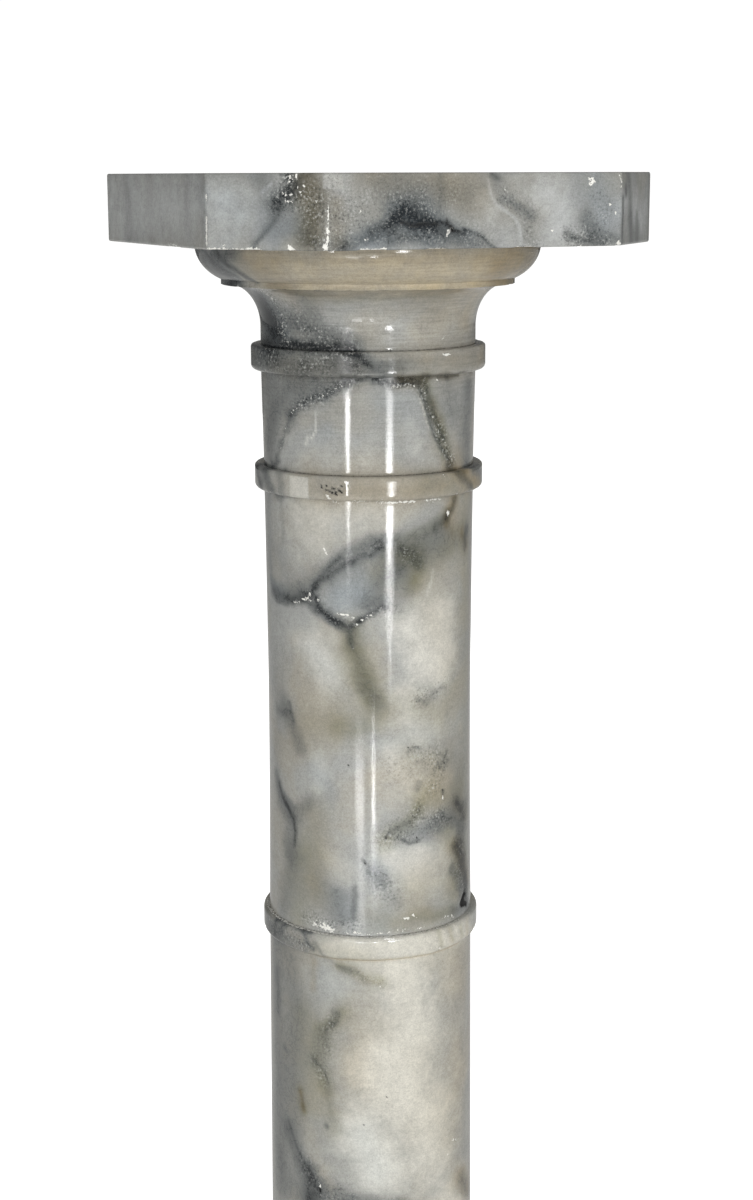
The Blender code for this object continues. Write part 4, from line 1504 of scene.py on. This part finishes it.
def canted_slab(name, box, corner_cut):
    """A canted slab with fine sides, filling its construction solid's box."""
    low, high = Vector(box[0]), Vector(box[1])
    size = high - low
    bm = bmesh.new()
    bmesh.ops.create_cube(bm, size=1)
    bmesh.ops.scale(bm, vec=size, verts=bm.verts)
    bevel(bm, upright_edges(bm), corner_cut / math.sqrt(2), 1)
    bevel(bm, bm.edges[:], ARRIS, ARRIS_SEGMENTS)
    bmesh.ops.delete(bm, geom=[f for f in bm.faces if abs(f.normal.z) > 0.99], context="FACES_ONLY")
    divide_sides(bm)
    for level, inner_rings in ((-size.z / 2, 0), (size.z / 2, LID_INNER_RINGS)):
        rim = [e for e in bm.edges if e.is_boundary and abs(e.verts[0].co.z - level) < RIM_TOLERANCE]
        close_lid(bm, rim, [1 - 2 * LID_STEP / size.x] * LID_RINGS + [LID_INNER_SHRINK] * inner_rings)
    bmesh.ops.translate(bm, vec=(low + high) / 2, verts=bm.verts)
    return mesh_from(name, bm)


# %% Read places on a slab
def slab_outline(box, corner_cut):
    """The slab's middle, and its outline round that from the front canted corner to the right."""
    (x0, y0, _), (x1, y1, _) = box
    middle = np.array(((x0 + x1) / 2, (y0 + y1) / 2))
    half = (x1 - x0) / 2
    near = half - corner_cut / math.sqrt(2)
    outline = [(-near, -half), (near, -half), (half, -near), (half, near), (near, half), (-near, half),
               (-half, near), (-half, -near), (-near, -half)]
    return middle, np.array(outline)


def rim_places(places, box, corner_cut):
    """For each point its length along the rim and how far in it lies, and the rim's length, in mm."""
    middle, outline = slab_outline(box, corner_cut)
    flat = places[:, :2] - middle
    best, rim, start = np.full(len(places), FAR_AWAY), np.zeros(len(places)), 0.0
    for a, b in zip(outline, outline[1:]):
        side = b - a
        length = float(np.hypot(*side))
        share = np.clip((flat - a) @ side / length ** 2, 0, 1)
        distance = np.hypot(*(flat - a - share[:, None] * side).T)
        closer = distance < best
        best[closer], rim[closer] = distance[closer], start + share[closer] * length
        start += length
    return rim * 1000, best * 1000, start * 1000


# %% Marks of the top plate
PLATE_CORNER_CUT = 0.0722
PLATE_MARKS = [
    # Painted light: the plate's left face is laid paler, in place of light falling on it from the left.
    ("pale", 0.78, 26, [(-240, 980), (-100, 980)]),
    ("slate", 0.22, 10, [(-214, 1000), (-210, 958)]),
    ("slate", 0.14, 7, [(-170, 1000), (-166, 958)]),
    ("slate", 0.20, 8, [(-104, 1000), (-100, 958)]),
    ("chalk", 0.50, 0.9, [(-139, 959.4), (-120, 959.2)]),
    ("pale", 0.30, 15, [(-60, 986), (-54, 980)]),
    ("cool", 0.60, 17, [(-60, 985), (-50, 980)]),
    ("pale", 0.22, 16, [(-60, 970), (-46, 985)]),
    ("slate", 0.24, 6, [(-68, 1000), (-50, 1000), (-36, 996)]),
    ("slate", 0.30, 7, [(-38, 996), (-36, 982)]),
    ("cool", 0.60, 9, [(-30, 968), (-22, 972)]),
    ("slate", 0.30, 9, [(-30, 968), (-18, 974)]),
    ("slate", 0.85, 4.6, [(-22, 1000), (-20, 994), (-26, 988), (-30, 982)]),
    ("slate", 0.62, 5, [(-14, 998), (-16, 991), (-22, 986)]),
    ("brown", 0.40, 6, [(-14, 1000), (-14, 990)]),
    ("slate", 0.60, 1.1, [(-27, 981), (-30, 977), (-34, 971), (-38, 967), (-42, 963), (-45, 959)]),
    ("slate", 0.28, 3.0, [(-28, 980), (-35, 970), (-44, 960)]),
    ("grit", 0.95, 7, [(-22, 999), (-22, 990), (-28, 983)]),
    ("chalk", 0.13, 4.0, [(-20, 999), (-19, 990), (-26, 986)]),
    ("pale", 0.95, 0.8, [(-38.4, 990), (-33, 994)]),
    ("chalk", 0.42, 0.7, [(-24.6, 992.8), (-20, 997)]),
    ("chalk", 0.60, 0.8, [(-22.6, 998.6), (-22, 997.4)]),
    ("chalk", 0.80, 0.8, [(-18.6, 999.2), (-18.4, 998)]),
    ("chalk", 0.46, 0.8, [(-28, 989.6), (-24, 988.2), (-21, 988.8)]),
    ("chalk", 0.48, 0.8, [(-24, 985), (-21, 984)]),
    ("brown", 0.50, 8, [(-9, 1000), (-6, 985), (-10, 966)]),
    ("slate", 0.42, 8, [(-9, 1000), (-6, 985), (-10, 966)]),
    ("slate", 0.40, 5, [(-12, 966), (-2, 961), (10, 960)]),
    ("brown", 0.35, 5, [(6, 984), (6, 962)]),
    ("grit", 0.75, 12, [(-10, 984), (4, 975), (-6, 961)]),
    ("olive", 0.40, 8, [(-12, 984), (-10, 966)]),
    ("grit", 0.55, 10, [(12, 988), (20, 978), (14, 970)]),
    ("pale", 0.28, 10, [(12, 990), (24, 982)]),
    ("slate", 0.22, 12, [(6, 978), (22, 972)]),
    ("brown", 0.32, 10, [(26, 1000), (60, 998), (92, 994)]),
    ("slate", 0.34, 12, [(30, 994), (84, 988)]),
    ("grit", 0.35, 12, [(30, 992), (84, 988)]),
    ("brown", 0.22, 9, [(70, 988), (92, 982)]),
    ("slate", 0.24, 2.4, [(68, 1000), (68, 980)]),
    ("slate", 0.50, 8, [(40, 984), (50, 985), (60, 978)]),
    ("slate", 0.92, 5.5, [(40, 976), (46, 979), (52, 978), (58, 973)]),
    ("slate", 0.62, 5, [(28, 966), (36, 971), (46, 973), (60, 972), (70, 971)]),
    ("slate", 0.66, 6, [(38, 964), (48, 966), (60, 964)]),
    ("slate", 0.55, 4, [(10, 961), (18, 963), (26, 967), (34, 970)]),
    ("slate", 0.62, 1.5, [(36, 972), (40, 974), (44, 973), (50, 971), (58, 972), (66, 973)]),
    ("slate", 0.50, 1.5, [(60, 974), (66, 973), (72, 971), (78, 968), (82, 968)]),
    ("slate", 0.62, 5, [(66, 970), (80, 966)]),
    ("soot_and_shade", 0.34, 1.6, [(43, 973.4), (50, 971.4), (57, 972.2), (69, 973)]),
    ("soot_and_shade", 0.30, 4.0, [(44, 977), (56, 973), (74, 968)]),
    ("soot_and_shade", 0.50, 2.2, [(72, 974), (75, 971), (77, 968.6), (80, 968.4)]),
    ("soot_and_shade", 0.50, 1.1, [(36, 969), (35.6, 962)]),
    ("slate", 0.50, 7, [(70, 965), (82, 963), (92, 960)]),
    ("slate", 0.66, 1.2, [(82, 969), (88, 967), (93, 965), (97, 961), (102, 958)]),
    ("cool", 0.80, 8, [(22, 963), (34, 963)]),
    ("cool", 0.70, 10, [(44, 978), (60, 966)]),
    ("cool", 0.50, 8, [(60, 978), (84, 966)]),
    ("grit", 0.52, 11, [(34, 968), (50, 970), (72, 966), (90, 963)]),
    ("grit", 0.42, 6, [(44, 988), (62, 980)]),
    ("chalk", 0.70, 0.9, [(74.6, 969.8), (71.6, 968.6)]),
    ("chalk", 0.55, 0.9, [(72.6, 967.4), (70.6, 965.8)]),
    ("chalk", 0.60, 0.7, [(21.4, 964.6), (23.4, 964.2)]),
    ("slate", 0.60, 2.0, [(100, 998.6), (103, 997.4)]),
    ("pale", 0.38, 8, [(100, 974), (108, 966), (112, 960)]),
    ("pale", 0.55, 1.1, [
        (96.4, 996), (98, 989), (101, 983), (108, 978.6), (114, 974.6), (117, 968), (117.6, 960)]),
    ("slate", 0.28, 6, [(103, 996), (107, 988), (116, 981), (124, 974), (124, 962)]),
    ("slate", 0.34, 3, [(106, 984), (114, 982), (120, 980), (126, 975)]),
    ("grit", 0.60, 8, [(108, 985), (122, 977), (124, 962)]),
    ("chalk", 0.60, 0.7, [(107, 991.6), (107, 990)]),
    ("pale", 0.68, 13, [(134, 990), (146, 978), (140, 966)]),
    ("pale", 0.30, 8, [(88, 990), (96, 980)]),
    ("pale", 0.70, 14, [(190, 980), (230, 975)]),
    ("slate", 0.16, 8, [(152, 984), (158, 978)]),
    ("slate", 0.16, 11, [(168, 992), (174, 976)]),
    ("cool", 0.75, 12, [(166, 992), (172, 974)]),
    ("slate", 0.46, 5, [(160, 974), (164, 967)]),
    ("slate", 0.62, 3.4, [(149, 964), (156, 963.6), (164, 962), (171, 960)]),
    ("slate", 0.50, 4, [(166, 966), (174, 963), (180, 962)]),
    ("soot_and_shade", 0.40, 1.2, [(157, 963), (164, 962), (168, 963)]),
    ("grit", 0.85, 8, [(150, 963), (166, 968), (172, 962)]),
    ("grit", 0.50, 10, [(168, 988), (174, 978)]),
    ("slate", 0.50, 2.6, [(187.5, 985), (187.5, 958)]),
    ("slate", 0.60, 3.4, [(193, 991), (194, 988)]),
    ("slate", 0.40, 6, [(198, 1000), (203, 990), (206, 975), (210, 958)]),
    ("slate", 0.34, 5, [(222, 975), (224, 960)]),
    ("slate", 0.22, 10, [(206, 970), (222, 965)]),
    ("pale", 0.55, 2.4, [(212.4, 977), (213, 974)]),
    ("slate", 0.34, 5, [(252, 1000), (253, 958)]),
    ("chalk", 0.62, 0.55, [(0.1, 984), (0, 976), (-0.2, 970)]),
    ("chalk", 0.62, 1.1, [(-0.2, 970), (-0.8, 963), (-1.2, 959)]),
    ("chalk", 0.60, 1.2, [(-3, 962), (-2, 959)]),
    ("chalk", 0.62, 1.1, [(-72.6, 989), (-72.6, 986)]),
    ("chalk", 0.72, 1.2, [(-72.8, 976), (-73, 968), (-73.4, 961)]),
    ("chalk", 0.55, 1.2, [(-72, 959), (-60, 958.8), (-47, 958.8)]),
    ("chalk", 0.75, 0.9, [(-62, 961), (-62, 960)]),
    ("chalk", 0.70, 1.6, [(-46, 959), (-41, 958.6)]),
    ("chalk", 0.85, 1.4, [(-23, 960.4), (-20.4, 959)]),
    ("chalk", 0.60, 0.9, [(-33, 960)]),
    ("chalk", 0.85, 0.9, [(161.4, 996.6), (164.4, 995.6), (161.8, 992.6), (161.6, 995)]),
    ("chalk", 0.60, 0.8, [(180.6, 998), (183, 995), (182.6, 990)]),
    ("chalk", 1.00, 1.6, [(181.4, 960), (184, 959)]),
    ("chalk", 0.95, 0.9, [(156, 958.8)]),
    ("chalk", 0.60, 0.9, [(19, 958.8), (34, 958.8)]),
    ("chalk", 0.85, 0.9, [(32.6, 959.2), (34.2, 959.2)]),
    ("chalk", 0.55, 0.8, [(60, 958.6), (71, 958.6)]),
    ("chalk", 0.62, 0.8, [(115, 958.6), (127, 958.6)]),
]
PLATE_DOTS = [
    (175, 981.6), (179, 977.2), (137.4, 967.8), (-16, 989.4), (-7, 985), (19, 979.6), (-14, 993),
    (-18, 992.4),
]
print(len(PLATE_MARKS), "strokes on the plate")

# %% Veins on the flat faces
LID_MARKS = [
    ("pale", 0.60, 60, [(-80, -70), (-10, -90)]),
    ("pale", 0.60, 55, [(50, 50), (90, 100)]),
    ("pale", 0.35, 60, [(-100, 90)]),
    ("slate", 0.40, 13, [(-150, 40), (-90, 10), (-40, 22), (0, 62), (26, 110), (40, 150)]),
    ("slate", 0.50, 3.0, [(-150, 36), (-92, 12), (-42, 20), (2, 60), (28, 112), (40, 150)]),
    ("slate", 0.38, 16, [(10, -150), (40, -96), (96, -66), (150, -76)]),
    ("slate", 0.45, 2.6, [(12, -150), (44, -98), (98, -64), (150, -74)]),
    ("slate", 0.30, 2.6, [(-42, 20), (-60, 70), (-58, 110), (-80, 150)]),
    ("brown", 0.30, 30, [(-110, 80), (-70, 50)]),
    ("brown", 0.22, 34, [(100, -10), (60, -40)]),
    ("cool", 0.45, 34, [(0, 0), (40, 60)]),
    ("grit", 0.45, 14, [(-40, 22), (0, 62)]),
]

# %% Colour a slab
SLAB_SWIRLS = ((2.6, 0.014), (0.9, 0.005))
RIM_WIDTH = 1.0
RIM_FADE = 9.0
PIT_DEPTH = 0.0007


def lid_layers(places, box, shift):
    """The layers as the marks of the flat faces make them."""
    layers = empty_layers(places)
    middle = (np.array(box[0][:2]) + np.array(box[1][:2])) / 2
    across, deep = (places[:, :2] - middle).T * 1000 + shift[:, :2].T
    lay_marks(layers, across, deep, LID_MARKS, FAR_AWAY)
    return layers


def slab_layers(places, box, corner_cut, marks, seed):
    """The layers of a slab: marks along its rim, which give way to those of the flat faces."""
    rim, inside, around = rim_places(places, box, corner_cut)
    shift = swirled(places, seed, SLAB_SWIRLS)
    layers = empty_layers(places)
    level = places[:, 2] * 1000
    shaken_rim, shaken_level = rim + np.hypot(shift[:, 0], shift[:, 1]), level + shift[:, 2]
    wide = [mark for mark in marks if mark[2] > CRISP_WIDTH]
    crisp = [mark for mark in marks if mark[2] <= CRISP_WIDTH]
    lay_marks(layers, shaken_rim, shaken_level, wide, around)
    lay_marks(layers, rim, level, crisp, around)
    near_rim = np.exp(-np.clip(inside - RIM_WIDTH, 0, None) / RIM_FADE)
    for name, lid in lid_layers(places, box, shift).items():
        layers[name] *= near_rim
        add_mark(layers, name, lid * (1 - near_rim))
    return layers


def keep_slab(mesh, layers):
    """Keeps a slab's layers on its mesh, and sinks its chips."""
    store_layers(mesh, layers)
    sink(mesh, PIT_DEPTH * layers["chalk"])


# %% Colour the top plate
PLATE_SEED = 12
# A way along the rim and the height to mirror about, both in millimetres.
PLATE_BACK = (508, 979)
# The bare patch's left end and right end along the rim, and its foot.
PLATE_PATCH = (-3, 9.4, 991)
PLATE_PATCH_DEPTH = 1.5
PLATE_PATCH_LAYERS = {"pale": 0.5, "slate": 0.1, "brown": 0.15, "grit": 0.5}


def bare_plate_patch(layers, places):
    """The pale patch at the plate's upper edge."""
    rim, inside, around = rim_places(places, PLATE, PLATE_CORNER_CUT)
    left, right, foot = PLATE_PATCH
    signed = (rim + around / 2) % around - around / 2
    where = (signed > left) & (signed < right) & (places[:, 2] * 1000 > foot) & (inside < PLATE_PATCH_DEPTH)
    bare_patch(layers, where, PLATE_PATCH_LAYERS)


plate_mesh = canted_slab("top plate", PLATE, PLATE_CORNER_CUT)
plate_places = mesh_values(plate_mesh, "co")
# The back repeats the plate's strokes, the painted light of the left face among them.
plate_marks = PLATE_MARKS + behind(PLATE_MARKS, *PLATE_BACK) + specks(PLATE_DOTS, "chalk", 0.85, 0.9)
plate_layers = slab_layers(plate_places, PLATE, PLATE_CORNER_CUT, plate_marks, PLATE_SEED)
bare_plate_patch(plate_layers, plate_places)
keep_slab(plate_mesh, plate_layers)
finish_piece("top_plate_stone", plate_mesh, PLATE_STONE, "top_plate")

# %% Build the plinth
PLINTH_CORNER_CUT = 0.0760
PLINTH_SEED = 21
BROAD_WIDTH = 2.5
PLATE_ON_PLINTH = (150, 660)
BETWEEN_SLABS = 503.5
PLINTH_MARKS = [
    ("slate", 0.45, 12, [(20, 52), (50, 30), (90, 8)]),
    ("slate", 0.60, 3, [(10, 45), (44, 34), (70, 12)]),
    ("brown", 0.35, 12, [(120, 50), (140, 10)]),
    ("pale", 0.40, 16, [(-40, 40), (-20, 14)]),
    ("slate", 0.40, 10, [(-150, 50), (-120, 5)]),
    ("grit", 0.50, 14, [(30, 40), (80, 14)]),
    ("slate", 0.40, 9, [(300, 50), (350, 10)]),
    ("slate", 0.40, 9, [(520, 8), (560, 46)]),
]
plinth_marks = list(PLINTH_MARKS)
# The plinth takes the plate's broad strokes, the painted light of the plate's left face among them.
broad_marks = [mark for mark in PLATE_MARKS if mark[2] > BROAD_WIDTH]
for way in PLATE_ON_PLINTH:
    plinth_marks += behind(broad_marks, way, BETWEEN_SLABS)
plinth_mesh = canted_slab("plinth", PLINTH, PLINTH_CORNER_CUT)
plinth_places = mesh_values(plinth_mesh, "co")
keep_slab(plinth_mesh, slab_layers(plinth_places, PLINTH, PLINTH_CORNER_CUT, plinth_marks, PLINTH_SEED))
finish_piece("plinth_stone_block", plinth_mesh, PLATE_STONE, "plinth")
